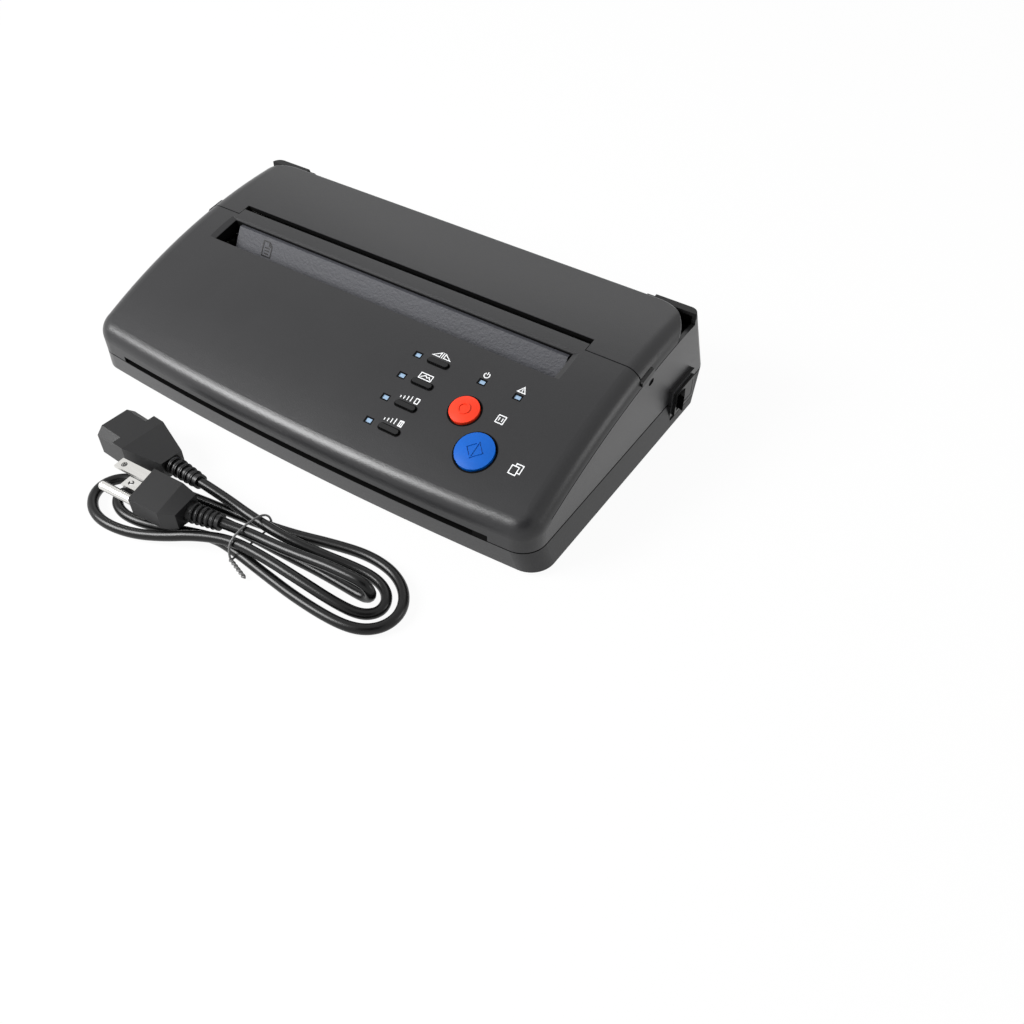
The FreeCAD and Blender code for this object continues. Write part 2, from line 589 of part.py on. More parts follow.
node("rear_cover", cut("rearCover", coverSolid, releaseGap("coverRelease"), pinHole))
pins = []
pinLength = S.lugWidth + S.lugGap + 2 * S.earWall
for side in (-1, 1):
    inner = S.earInner - S.lugGap - S.lugWidth
    pins.append(rod(f"hingePin{side}", S.pinRadius, pinLength,
                    (inner if side > 0 else -inner - pinLength, S.hingeY, S.hingeZ), "X"))
node("hinge_pins", group("hingePins", *pins))

# Print head under the cover: heater board and finned heat sink

headBack = S.platenY + S.headDepth / 2
node("print_head", block("printHead", (-S.headLength / 2, headBack - S.headDepth, sinkBottom - S.headThick),
                         (S.headLength / 2, headBack, sinkBottom)))
sinkFront = S.platenY - S.sinkDepth / 2
sinkBlock = block("sinkBlock", (-S.sinkLength / 2, sinkFront, sinkBottom),
                  (S.sinkLength / 2, sinkFront + S.sinkDepth, sinkTop))
finPitch = S.sinkDepth / S.finCount
grooves = []
for number in range(int(S.finCount.value)):
    if number == int(S.finCount.value) // 2:
        continue
    start = sinkFront + finPitch * number + (finPitch - S.finGap) / 2
    grooves.append(block(f"finGroove{number}", (-S.sinkLength / 2 - S.overrun, start, sinkTop - S.finDeep),
                         (S.sinkLength / 2 + S.overrun, start + S.finGap, sinkTop + S.overrun)))
node("heat_sink", cut("heatSink", sinkBlock, *grooves))

# Bottom tray


def bowedPlan(half, front, back):
    # Plan outline with a bowed front and round corners, and the radii of its arcs
    bow = (half * half + S.frontBow * S.frontBow) / (2 * S.frontBow)
    endX = (half - S.cornerRound) / (1 - S.cornerRound / bow)
    fall = (bow * bow - endX * endX).root()
    endY = front + bow - fall
    sideY = endY + S.cornerRound * fall / bow
    outline = [(-endX, endY), (endX, endY), (half, sideY), (half, back - S.rearRound),
               (half - S.rearRound, back), (-half + S.rearRound, back), (-half, back - S.rearRound),
               (-half, sideY)]
    return outline, {0: bow, 1: S.cornerRound, 3: S.rearRound, 5: S.rearRound, 7: S.cornerRound}


def trayForm(name, inset, lift):
    # Ruled between the floor outline and the outline at the seam, or a lift above the seam
    rise = S.seamHeight - S.footHeight
    reach = (rise + lift) / rise
    lowHalf = halfCase - inset
    lowFront = frontY + S.trayFrontInset + inset
    lowBack = ridgeY - S.trayRearInset - inset
    lower, lowBends = bowedPlan(lowHalf, lowFront, lowBack)
    upper, highBends = bowedPlan(lowHalf - S.flare * reach, lowFront - S.trayFrontInset * reach,
                                 lowBack + S.trayRearInset * reach)
    return loft(name, "XY", lower, upper, S.footHeight, rise + lift, lowBends, highBends)


trayOuter = trayForm("trayOuter", size(0), size(0))
trayHollow = common("trayHollow", trayForm("trayInner", S.wall, S.wall), block(
    "trayInnerCut", (-halfCase, farFront, floorTop), (halfCase, farBack, high)))
footSpots = [(sx * S.footX, y) for sx in (-1, 1) for y in (S.footFrontY, S.footBackY)]
screwSpots = [(sx * S.panelBossX, S.panelBossY) for sx in (-1, 1)]
screwSpots += [(sx * S.frameBossX, y) for sx in (-1, 1) for y in (S.frameBossFrontY, S.frameBossBackY)]
boardTop = floorTop + S.standoff + S.boardThick
trayPosts = []


def corners(left, right, front, back):
    return [(x, y) for x in (left + S.boardInset, right - S.boardInset)
            for y in (front + S.boardInset, back - S.boardInset)]


trayPegSpots = corners(S.mainLeft, S.mainRight, S.mainFront, S.mainBack)
trayPegSpots += corners(S.powerLeft, S.powerRight, S.powerFront, S.powerBack)
for number, (x, y) in enumerate(trayPegSpots):
    trayPosts.append(rod(f"trayPost{number}", S.standoffRadius, S.standoff, (x, y, floorTop)))
    trayPosts.append(rod(f"trayPeg{number}", S.pegThin, S.standoff + S.boardThick + S.pegHead,
                         (x, y, floorTop)))
scanBarBottom = floorTop + S.scanBarLift
barFront = S.scanY - S.scanBarDepth / 2
for side in (-1, 1):
    trayPosts.append(block(f"cradle{side}", (side * S.cradleX - S.cradleWide / 2, barFront, floorTop),
                           (side * S.cradleX + S.cradleWide / 2, barFront + S.scanBarDepth, scanBarBottom)))
traySolid = fuse("traySolid", cut("trayShell", trayOuter, trayHollow), *trayPosts)
trayHoles = [rod(f"footHole{number}", S.pegRadius, S.floorWall, (x, y, S.footHeight))
             for number, (x, y) in enumerate(footSpots)]
trayHoles += [rod(f"screwHole{number}", S.screwShank, S.floorWall, (x, y, S.footHeight))
              for number, (x, y) in enumerate(screwSpots)]
padFront = S.switchY - S.bezelLong / 2 - S.padMargin
padBack = S.switchY + S.bezelLong / 2 + S.padMargin
padBottom = S.switchZ - S.bezelHigh / 2 - S.padMargin
padTop = S.switchZ + S.bezelHigh / 2 + S.padMargin
padGap = block("padGap", (S.padX - S.padDeep - S.reveal, padFront - S.reveal, padBottom - S.reveal),
               (halfCase, padBack + S.reveal, padTop))
node("bottom_tray", cut("bottomTray", traySolid, padGap, *trayHoles))

# Housing frame: side walls, sloping rear wall, hinge ears and the switch pad

frameLow = S.seamHeight + S.reveal
frameDrop = S.seamDrop + S.reveal
frameProfile = [(S.frameFront, frameLow), (ridgeY, frameLow), (ridgeY, S.ridgeZ), (S.earBack, S.earTop),
                (S.earFront, S.earTop), (S.earFront, crown(S.earFront, frameDrop)),
                (S.frameFront, crown(S.frameFront, frameDrop))]
frameForm = prism("frameForm", "YZ", frameProfile, -halfBody, 2 * halfBody, {5: S.crownRadius - frameDrop})


def slantedRear(edge):
    middle = middleOf(edge)
    onSideWall = abs(abs(middle.x) - halfBody.value) < S.reveal.value / 4
    ends = [vertex.Z for vertex in edge.Vertexes]
    rises = max(ends) - min(ends) > S.reveal.value
    return onSideWall and rises and middle.y > S.earBack.value


frameRounded = rounded("frameRounded", frameForm, (slantedRear, S.rearRound))
hollow = prism("frameHollow", "YZ", [
    (farFront, 0), (ridgeY - S.wall, 0), (ridgeY - S.wall, S.ridgeZ),
    (S.earBack - S.earWall, S.earTop - S.earWall), (farFront, S.earTop - S.earWall)], -insideX, 2 * insideX)
betweenEars = block("betweenEars", (-S.earInner, S.ledgeFront, S.rearTop), (S.earInner, farBack, high))
frameShell = cut("frameShell", frameRounded, hollow, betweenEars)
lipFormer = cut("lipFormer", frameRounded, betweenEars)
framePieces = [common("rearLip", lipFormer, block(
    "rearLipBlock", (-S.earInner, S.earFront, S.rearTop - S.rearLip), (S.earInner, farBack, high)))]
for side in (-1, 1):
    wallLeft = S.earInner if side > 0 else -S.earInner - S.earWall
    framePieces.append(common(f"earWall{side}", frameRounded, block(
        f"earWallBlock{side}", (wallLeft, S.earFront, S.ledgeZ), (wallLeft + S.earWall, farBack, high))))
    ledgeLeft = S.earInner if side > 0 else -halfBody
    framePieces.append(common(f"earLedge{side}", frameRounded, block(
        f"earLedgeBlock{side}", (ledgeLeft, S.ledgeFront, S.ledgeZ),
        (ledgeLeft + halfBody - S.earInner, farBack, S.ledgeZ + S.ledgeThick))))
    for y in (S.frameBossFrontY, S.frameBossBackY):
        spot = f"{side}{'front' if y.value < 0 else 'back'}"
        framePieces.append(rod("frameBoss" + spot, S.bossRadius, S.bossTop - floorTop,
                               (side * S.frameBossX, y, floorTop)))
        webLeft = S.frameBossX if side > 0 else -insideX - S.wall / 2
        webLong = insideX + S.wall / 2 - S.frameBossX
        framePieces.append(block("frameWeb" + spot, (webLeft, y - S.bossRadius / 2, frameLow),
                                 (webLeft + webLong, y + S.bossRadius / 2, S.bossTop)))
    guideLeft = insideX - S.guideIn if side > 0 else -insideX + S.guideIn - S.guideDepth
    guideTop = releaseZ + S.releaseStemHigh / 2 + S.guideCap
    framePieces.append(block(
        f"buttonGuide{side}", (guideLeft, S.releaseY - S.guideWide / 2, guideTop - S.guideFoot),
        (guideLeft + S.guideDepth, S.releaseY + S.guideWide / 2, guideTop)))
    footLeft = insideX - S.guideIn if side > 0 else -insideX - S.wall / 2
    framePieces.append(block(f"buttonGuideFoot{side}", (footLeft, S.releaseY - S.guideWide / 2,
                             guideTop - S.guideFoot), (footLeft + S.guideIn + S.wall / 2,
                             S.releaseY + S.guideWide / 2, guideTop - S.guideFoot + S.guideDepth)))
pad = block("switchPad", (S.padX - S.padDeep, padFront, padBottom), (S.padX, padBack, padTop))
pocketLow = S.inletZ - S.pocketHigh / 2
pocketLeft = S.inletX - S.pocketWide / 2
pocketOuter = block("pocketOuter", (pocketLeft - S.pocketWall, S.inletFloorY - S.pocketWall,
                                    pocketLow - S.pocketWall),
                    (pocketLeft + S.pocketWide + S.pocketWall, ridgeY,
                     pocketLow + S.pocketHigh + S.pocketWall))
framePieces.append(common("pocketShell", frameRounded, pocketOuter))
frameSolid = fuse("frameSolid", frameShell, pad, *framePieces)
frameCuts = [block("pocketHole", (pocketLeft, S.inletFloorY, pocketLow),
                   (pocketLeft + S.pocketWide, farBack, pocketLow + S.pocketHigh))]
inletBodyWide = S.inletWide + 2 * S.inletWall
inletBodyHigh = S.inletHigh + 2 * S.inletWall
frameCuts.append(block("inletHole", (S.inletX - inletBodyWide / 2, S.platenY, S.inletZ - inletBodyHigh / 2),
                       (S.inletX + inletBodyWide / 2, farBack, S.inletZ + inletBodyHigh / 2)))
frameCuts.append(block("rearSlot", (S.rearSlotLeft, S.earFront, S.rearSlotBottom),
                       (S.rearSlotRight, farBack, S.rearSlotBottom + S.rearSlotHeight)))
frameCuts.append(block("switchHole", (S.padX - S.switchDepth, S.switchY - S.switchBodyLong / 2,
                       S.switchZ - S.switchBodyHigh / 2), (halfCase, S.switchY + S.switchBodyLong / 2,
                       S.switchZ + S.switchBodyHigh / 2)))
frameCuts.append(rod("earPinHole", S.pinRadius + S.pinFit, 2 * (S.earInner + 2 * S.earWall),
                     (-S.earInner - 2 * S.earWall, S.hingeY, S.hingeZ), "X"))
for side in (-1, 1):
    stemHole = block(f"stemHole{side}", (-S.releaseStemWide / 2 - S.releaseClear,
                     -S.releaseStemHigh / 2 - S.releaseClear, -S.overrun),
                     (S.releaseStemWide / 2 + S.releaseClear, S.releaseStemHigh / 2 + S.releaseClear, 0))
    frameCuts.append(placed(f"stemHolePlace{side}", onSide(side, S.releaseY, releaseZ, releaseTilt),
                            stemHole))
    dimple = pill(f"dimple{side}", S.dimpleLong, S.dimpleHigh, -S.dimpleDeep, S.dimpleDeep)
    frameCuts.append(placed(f"dimplePlace{side}", onSide(side, S.dimpleY, S.dimpleZ, releaseTilt), dimple))
    notchStart = S.earInner - S.lugGap - S.lugWidth - S.notchGap
    frameCuts.append(block(f"lugNotch{side}", (notchStart if side > 0 else -S.earInner, S.ledgeFront,
                           S.hingeZ - S.lugRadius - S.notchGap),
                           (S.earInner if side > 0 else -notchStart, farBack, high)))
for number, (x, y) in enumerate(screwSpots[2:]):
    frameCuts.append(rod(f"framePilot{number}", S.screwShank, S.screwReach, (x, y, S.footHeight)))
node("housing_frame", cut("housingFrame", frameSolid, releaseGap("frameRelease"), *frameCuts))

# Guide plate that leads the original from the recess down to the scan roller

guideLeftWall = -S.plateX + S.plateThick / 2
guideRun = (S.guideTopY - S.guideFootY) / (S.guideTopZ - S.guideFootZ)


def guidePlate(name, left, right, low, top):
    front = S.guideFootY + guideRun * (low - S.guideFootZ)
    back = S.guideFootY + guideRun * (top - S.guideFootZ)
    outline = [(front, low), (front + S.guideThick, low), (back + S.guideThick, top), (back, top)]
    return prism(name, "YZ", outline, left, right - left)


node("document_guide", fuse("documentGuide",
                            guidePlate("guideUpper", S.guideLeft, S.guideRight, S.guideFootZ, S.guideTopZ),
                            guidePlate("guideLower", guideLeftWall, -guideLeftWall, S.guideFootZ,
                                       S.guideStepZ)))

# Paper chute from the scanner to the slot in the front

chuteFall = (S.chuteBackTop - S.chuteFrontTop) / (S.chuteBackY - frontY)
chuteProfile = [(frontY, S.chuteFrontTop - S.chuteThick), (S.chuteBackY, S.chuteBackTop - S.chuteThick),
                (S.chuteBackY, S.chuteBackTop), (frontY, S.chuteFrontTop)]
chutePlate = common("chutePlate", skinInner, prism("chuteSlab", "YZ", chuteProfile, S.chuteLeft,
                                                   S.chuteRight - S.chuteLeft))
chuteRibs = []
for name, y in (("Front", S.chuteRibFrontY), ("Back", S.chuteRibBackY)):
    ribTop = S.chuteFrontTop - S.chuteThick / 2 + chuteFall * (y - frontY)
    chuteRibs.append(block("chuteRib" + name, (S.chuteLeft + S.trayRearRound, y, floorTop),
                           (S.chuteRight - S.trayRearRound, y + S.chuteRib, ribTop)))
node("paper_chute", fuse("paperChute", chutePlate, *chuteRibs))

# Side plates that carry the rollers, and their bushes

gearFace = S.plateX + S.plateThick / 2 + S.gearOut
scanBush = S.scanShaft + S.runningFit + S.bushWall
platenBush = S.platenShaft + S.runningFit + S.bushWall
scanPitch = S.toothModule * S.scanTeeth / 2
printPitch = S.toothModule * S.printTeeth / 2
pinionPitch = S.toothModule * S.pinionTeeth / 2
scanReach = scanPitch + pinionPitch
printReach = printPitch + pinionPitch
scanMotorZ = S.scanZ + S.scanMotorDrop
scanMotorY = S.scanY - (scanReach * scanReach - S.scanMotorDrop * S.scanMotorDrop).root()
printMotorZ = S.platenZ - S.printMotorDrop
printMotorY = S.platenY + (printReach * printReach - S.printMotorDrop * S.printMotorDrop).root()
plateOutline = [(S.plateFront, floorTop), (S.plateBack, floorTop), (S.plateBack, S.plateTop),
                (S.plateShoulderY, S.plateTop), (S.plateFront, S.plateFrontTop)]
for label, side in (("left_side_plate", -1), ("right_side_plate", 1)):
    left = side * S.plateX - S.plateThick / 2
    wallPlate = prism(f"plateWall{side}", "YZ", plateOutline, left, S.plateThick)
    footLeft = left if side > 0 else left - S.plateFoot
    foot = block(f"plateFoot{side}", (footLeft, S.plateFootFront, floorTop),
                 (footLeft + S.plateFoot + S.plateThick, S.plateFootBack, floorTop + S.plateThick))
    holes = [rod(f"plateScan{side}", scanBush, S.plateThick, (left, S.scanY, S.scanZ), "X"),
             rod(f"platePlaten{side}", platenBush, S.plateThick, (left, S.platenY, S.platenZ), "X")]
    if side < 0:
        holes.append(rod("plateScanMotor", S.shaftHole, S.plateThick, (left, scanMotorY, scanMotorZ), "X"))
        holes.append(rod("platePrintMotor", S.shaftHole, S.plateThick, (left, printMotorY, printMotorZ), "X"))
    node(label, cut(f"sidePlate{side}", fuse(f"plateSolid{side}", wallPlate, foot), *holes))


def bushes(name, shaft, y, z):
    parts = []
    for side in (-1, 1):
        inner = S.plateX + S.plateThick / 2 - S.bushLength
        sleeveLeft = inner if side > 0 else -inner - S.bushLength
        flangeLeft = inner - S.bushFlangeThick + S.bushLength - S.plateThick
        flangeLeft = flangeLeft if side > 0 else -flangeLeft - S.bushFlangeThick
        bored = shaft + S.runningFit
        sleeve = rod(f"{name}Sleeve{side}", bored + S.bushWall, S.bushLength, (sleeveLeft, y, z), "X")
        flange = rod(f"{name}Flange{side}", bored + S.bushWall + S.bushFlange, S.bushFlangeThick,
                     (flangeLeft, y, z), "X")
        bore = rod(f"{name}Bore{side}", bored, S.bushLength, (sleeveLeft, y, z), "X")
        parts.append(cut(f"{name}{side}", fuse(f"{name}Solid{side}", sleeve, flange), bore))
    return group(name, *parts)


node("scan_bushes", bushes("scanBushes", S.scanShaft, S.scanY, S.scanZ))
node("platen_bushes", bushes("platenBushes", S.platenShaft, S.platenY, S.platenZ))

# Scanner bar with its glass, under the scan roller

barTop = scanBarBottom + S.scanBarHigh
node("scanner_bar", block("scannerBar", (-S.scanBarLength / 2, barFront, scanBarBottom),
                          (S.scanBarLength / 2, barFront + S.scanBarDepth, barTop)))
glassHalf = S.scanBarLength / 2 - S.glassMargin
node("scanner_glass", block("scannerGlass", (-glassHalf, barFront + S.glassMargin, barTop),
                            (glassHalf, barFront + S.scanBarDepth - S.glassMargin, barTop + S.glassThick)))

# Rollers, their shafts, gears and motors


# Half widths of a tooth at its foot and its tip, the tooth's height and the depth below the pitch circle
toothShares = (0.92, 0.36, 2.15, 1.25)


def toothed(name, teeth, bore, place):
    # A spur gear round the local z axis, with a tooth on the local x axis
    body = doc.addObject("PartDesign::Body", name)
    root = teeth * S.toothModule / 2 - S.toothModule * toothShares[3]
    disc = sketchOn(body, name + "Disc", "XY", 0)
    for radius in (root, bore):
        number = disc.addGeometry(Part.Circle(Vector(), Vector(0, 0, 1), radius.value), False)
        disc.addConstraint(Sketcher.Constraint("Coincident", number, 3, -1, 1))
        limit = disc.addConstraint(Sketcher.Constraint("Radius", number, radius.value))
        disc.setExpression(f"Constraints[{limit}]", radius.text)
    wheel = body.newObject("PartDesign::Pad", name + "Wheel")
    wheel.Profile = disc
    bind(wheel, "Length", S.gearWidth)
    tip = root + S.toothModule * toothShares[2]
    foot = S.toothModule * toothShares[0]
    head = S.toothModule * toothShares[1]
    start = root - S.toothModule / 2
    flank = sketchOn(body, name + "Flank", "XY", 0)
    draw(flank, [(start, -foot), (root, -foot), (tip, -head), (tip, head), (root, foot), (start, foot)], {})
    tooth = body.newObject("PartDesign::Pad", name + "Tooth")
    tooth.Profile = flank
    bind(tooth, "Length", S.gearWidth)
    ring = body.newObject("PartDesign::PolarPattern", name + "Ring")
    ring.Originals = [tooth]
    ring.Axis = (disc, ["N_Axis"])
    ring.Angle = 360
    bind(ring, "Occurrences", teeth)
    body.Tip = ring
    body.Placement = place
    return body


def gearPlace(y, z, towardY, towardZ, turn=0):
    # Left end of a gear outside the left plate, with a tooth turned towards a point
    angle = math.degrees(math.atan2(towardY.value - y.value, z.value - towardZ.value)) + turn
    left = -gearFace.value - S.gearWidth.value
    return Placement(Vector(left, y.value, z.value), TURNS["X"] * Rotation(Vector(0, 0, 1), angle))


shaftLeft = -gearFace - S.gearWidth - S.shaftOut
shaftRight = S.plateX + S.plateThick / 2 + S.gearOut
halfPinion = 180 / S.pinionTeeth.value
for name, label, y, z, radius, shaft, teeth, motorY, motorZ in (
        ("scan", "scan_roller", S.scanY, S.scanZ, S.scanRadius, S.scanShaft, S.scanTeeth, scanMotorY,
         scanMotorZ),
        ("platen", "platen_roller", S.platenY, S.platenZ, S.platenRadius, S.platenShaft, S.printTeeth,
         printMotorY, printMotorZ)):
    short = label.split("_")[0]
    rollerEnd = (-S.scanLength / 2, y, z)
    node(label, cut(name + "Sleeve", rod(name + "Rubber", radius, S.scanLength, rollerEnd, "X"),
                    rod(name + "SleeveBore", shaft, S.scanLength, rollerEnd, "X")))
    node(short + "_shaft", rod(name + "Shaft", shaft, shaftRight - shaftLeft, (shaftLeft, y, z), "X"))
    node(short + "_gear", toothed(name + "Gear", teeth, shaft, gearPlace(y, z, motorY, motorZ)))
    node(short + "_pinion", toothed(name + "Pinion", S.pinionTeeth, S.motorShaft,
                                    gearPlace(motorY, motorZ, y, z, halfPinion)))
    plateInner = -S.plateX + S.plateThick / 2
    motorBore = S.motorShaft + S.runningFit
    spindleIn = plateInner + S.motorLength / 2
    node(short + "_spindle", rod(name + "Spindle", S.motorShaft, spindleIn - shaftLeft,
                                 (shaftLeft, motorY, motorZ), "X"))
    can = rod(name + "Can", S.motorRadius, S.motorLength, (plateInner, motorY, motorZ), "X")
    cap = rod(name + "Cap", S.motorCap, S.motorCapThick, (plateInner + S.motorLength, motorY, motorZ), "X")
    node(short + "_motor", cut(name + "Motor", fuse(name + "MotorSolid", can, cap),
                               rod(name + "MotorBore", motorBore, S.motorLength / 2 + S.runningFit,
                                   (plateInner, motorY, motorZ), "X")))

# Circuit boards


def board(name, left, right, front, back):
    sheetBody = block(name + "Sheet", (left, front, floorTop + S.standoff), (right, back, boardTop))
    pegs = [rod(f"{name}Hole{number}", S.pegThin, S.boardThick, (x, y, floorTop + S.standoff))
            for number, (x, y) in enumerate(corners(left, right, front, back))]
    return cut(name, sheetBody, *pegs)


node("main_board", board("mainBoard", S.mainLeft, S.mainRight, S.mainFront, S.mainBack))
node("power_board", board("powerBoard", S.powerLeft, S.powerRight, S.powerFront, S.powerBack))
mainMidY = (S.mainFront + S.mainBack) / 2
chips = []
chipShare = 0.7
for number in range(4):
    x = S.mainLeft + S.chipPitch * (number + chipShare)
    chips.append(block(f"chip{number}", (x, mainMidY - S.chipSpan / 2, boardTop),
                       (x + S.chipSpan, mainMidY + S.chipSpan / 2, boardTop + S.chipHigh)))
node("main_chips", group("mainChips", *chips))
powerMidY = (S.powerFront + S.powerBack) / 2
coilLeft = S.powerLeft + S.canPitch
powerParts = [block("coil", (coilLeft, powerMidY - S.coilWide / 2, boardTop),
                    (coilLeft + S.coilWide, powerMidY + S.coilWide / 2, boardTop + S.coilHigh))]
for number in range(3):
    powerParts.append(rod(f"can{number}", S.canRadius, S.canHigh,
                          (coilLeft + S.coilWide + S.canPitch * (number + 1), powerMidY, boardTop)))
node("power_parts", group("powerParts", *powerParts))

# Panel board with its switches, hung under the panel

halfBoard = S.panelBoardLong / 2
halfBoardWide = S.panelBoardWide / 2
boardSheet = block("panelBoardSheet", (-halfBoard, -halfBoardWide, -S.panelBoardDrop - S.boardThick),
                   (halfBoard, halfBoardWide, -S.panelBoardDrop))
boardPegs = [rod(f"panelBoardHole{number}", S.pegThin, S.boardThick, (x, y, -S.panelBoardDrop - S.boardThick))
             for number, (x, y) in enumerate(postSpots)]
panelBoard = cut("panelBoard", boardSheet, *boardPegs)
panelBoard.Placement = boardPlace
node("panel_board", panelBoard)
buttonSpots = [(f"key{number + 1}", S.keyX, y) for number, y in enumerate(rowYs)]
buttonSpots += [("stop", S.stopX, S.stopY), ("copy", S.copyX, S.copyY)]
switches = []
for name, x, y in buttonSpots:
    depth = boardDepth(y)
    foot = boardPlace.inverse() * onCrown(x, y) * Vector(0, 0, -depth.value)
    body = block(name + "Tact", (-S.tactSpan / 2, -S.tactSpan / 2, 0),
                 (S.tactSpan / 2, S.tactSpan / 2, S.tactHigh))
    switches.append(placed(name + "TactPlace", boardPlace * Placement(
        Vector(foot.x, foot.y, -S.panelBoardDrop.value), Rotation()), body))
node("panel_switches", group("panelSwitches", *switches))

# Keys, press buttons, their wells and the indicator windows


def stem(name, y, start, travel):
    length = boardDepth(y) - S.tactHigh - S.tactGap - travel - start
    return rod(name + "Stem", S.stemRadius, length, (0, 0, -start - length))


def collar(name, travel):
    return rod(name + "Collar", S.stemRadius + S.collar, S.collar,
               (0, 0, -S.wellDepth - S.wellFloor - S.keyClear / 2 - S.collar))


for number, y in enumerate(rowYs):
    name = f"key{number + 1}"
    face = pill(name + "Face", S.keyLong, S.keyWide, -S.capDepth, S.keyProud)
    key = fuse(name, face, stem(name, y, S.capDepth, S.keyTravel))
    key.Placement = onCrown(S.keyX, y)
    node(f"key_{number + 1}", key)
keyWells = []
for number, y in enumerate(rowYs):
    rim = 2 * (S.keyClear + S.keyRim)
    outer = pill(f"keyWellOuter{number}", S.keyLong + rim, S.keyWide + rim, -S.wellDepth - S.wellFloor, 0)
    inner = pill(f"keyWellInner{number}", S.keyLong + 2 * S.keyClear, S.keyWide + 2 * S.keyClear,
                 -S.wellDepth, S.wall)
    hole = rod(f"keyWellHole{number}", S.stemRadius + S.stemClear, 2 * S.wellDepth, (0, 0, -2 * S.wellDepth))
    well = cut(f"keyWell{number}", outer, inner, hole)
    keyWells.append(placed(f"keyWellPlace{number}", onCrown(S.keyX, y), well))
node("key_wells", group("keyWells", *keyWells))


def ringMark(name, top):
    outer = rod(name + "Outer", S.markSpan, S.wall, (0, 0, top - S.wall))
    inner = rod(name + "Inner", S.markSpan - S.markStroke, 3 * S.wall, (0, 0, top - 2 * S.wall))
    return cut(name, outer, inner)


diamondShare = 1.45


def diamondMark(name, top):
    reach = S.markSpan * diamondShare
    thin = reach - S.markStroke / diamondShare
    low = top - S.wall

    def diamond(part, half, start, length):
        return prism(name + part, "XY", [(0, -half), (half, 0), (0, half), (-half, 0)], start, length)

    frameMark = cut(name + "Frame", diamond("Outer", reach, low, S.wall),
                    diamond("Inner", thin, low - S.wall, 3 * S.wall))
    slash = block(name + "Slash", (-S.markStroke / 2, -reach, low), (S.markStroke / 2, reach, top))
    return fuse(name, frameMark, slash)


for name, x, y, radius, well, mark in (("stop", S.stopX, S.stopY, S.stopRadius, S.stopWell, ringMark),
                                       ("copy", S.copyX, S.copyY, S.copyRadius, S.copyWell, diamondMark)):
    peak = S.capProud + S.domeRise
    domeRadius = (radius * radius + S.domeRise * S.domeRise) / (2 * S.domeRise)
    disc = rod(name + "Disc", radius, S.capDepth + peak, (0, 0, -S.capDepth))
    cap = common(name + "Cap", disc, ball(name + "Dome", domeRadius, (0, 0, peak - domeRadius)))
    button = fuse(name + "Button", cap, stem(name, y, S.capDepth, S.pressTravel),
                  mark(name + "Mark", peak + S.markRise))
    button.Placement = onCrown(x, y)
    node(name + "_button", button)
    cup = rod(name + "Cup", well, S.wellDepth + S.wellFloor, (0, 0, -S.wellDepth - S.wellFloor))
    cupHollow = rod(name + "WellHollow", well - S.wellWall, S.wellDepth + S.wall, (0, 0, -S.wellDepth))
    cupHole = rod(name + "WellHole", S.stemRadius + S.stemClear, 2 * S.wellDepth, (0, 0, -2 * S.wellDepth))
    hollowCup = cut(name + "Well", cup, cupHollow, cupHole)
    hollowCup.Placement = onCrown(x, y)
    node(name + "_well", hollowCup)

windows = []
rims = []
for number, (x, y) in enumerate(ledSpots):
    pane = block(f"pane{number}", (-S.ledLong / 2, -S.ledWide / 2, -S.ledPipe),
                 (S.ledLong / 2, S.ledWide / 2, -S.ledSunk))
    windows.append(placed(f"panePlace{number}", onCrown(x, y), pane))
    reach = S.ledRim + S.ledLong / 2
    bezel = block(f"paneRim{number}", (-reach, -S.ledRim - S.ledWide / 2, -S.ledPipe),
                  (reach, S.ledRim + S.ledWide / 2, 0))
    gap = block(f"paneGap{number}", (-S.ledLong / 2, -S.ledWide / 2, -2 * S.ledPipe),
                (S.ledLong / 2, S.ledWide / 2, S.wall))
    rims.append(placed(f"paneRimPlace{number}", onCrown(x, y), cut(f"rim{number}", bezel, gap)))
node("indicator_windows", group("indicatorWindows", *windows))
node("indicator_rims", group("indicatorRims", *rims))

# Ribbon cable from the panel board down to the main board

tiltSine = (S.crownBack - S.panelBoardY) / S.crownRadius
tiltCosine = (1 - tiltSine * tiltSine).root()
underDepth = S.panelBoardDrop + S.boardThick


def boardUnderside(y):
    # Height of the tilted panel board's lower face at y
    run = y - S.panelBoardY - underDepth * tiltSine
    return crown(S.panelBoardY) - underDepth * tiltCosine + run * tiltSine / tiltCosine


cableBack = S.cableY + S.cableThick
cableMiddle = (boardTop + boardUnderside(S.cableY)) / 2
node("flat_cable", prism("flatCable", "YZ", [
    (S.cableY, boardTop), (cableBack, boardTop), (cableBack + S.cableBow, cableMiddle),
    (cableBack, boardUnderside(cableBack)), (S.cableY, boardUnderside(S.cableY)),
    (S.cableY + S.cableBow, cableMiddle)], S.cableLeft, S.cableWide))

# Release buttons

for label, side in (("release_button_left", -1), ("release_button_right", 1)):
    cap = pill(label + "Cap", S.releaseLong, S.releaseHigh, S.releaseProud - S.releaseThick, S.releaseProud)
    stemBar = block(label + "Stem", (-S.releaseStemWide / 2, -S.releaseStemHigh / 2,
                    S.releaseProud - S.releaseThick - S.releaseStem),
                    (S.releaseStemWide / 2, S.releaseStemHigh / 2, 0))
    button = fuse(label + "Solid", cap, stemBar)
    button.Placement = onSide(side, S.releaseY, releaseZ, releaseTilt)
    node(label, button)

# Rocker switch in the pad

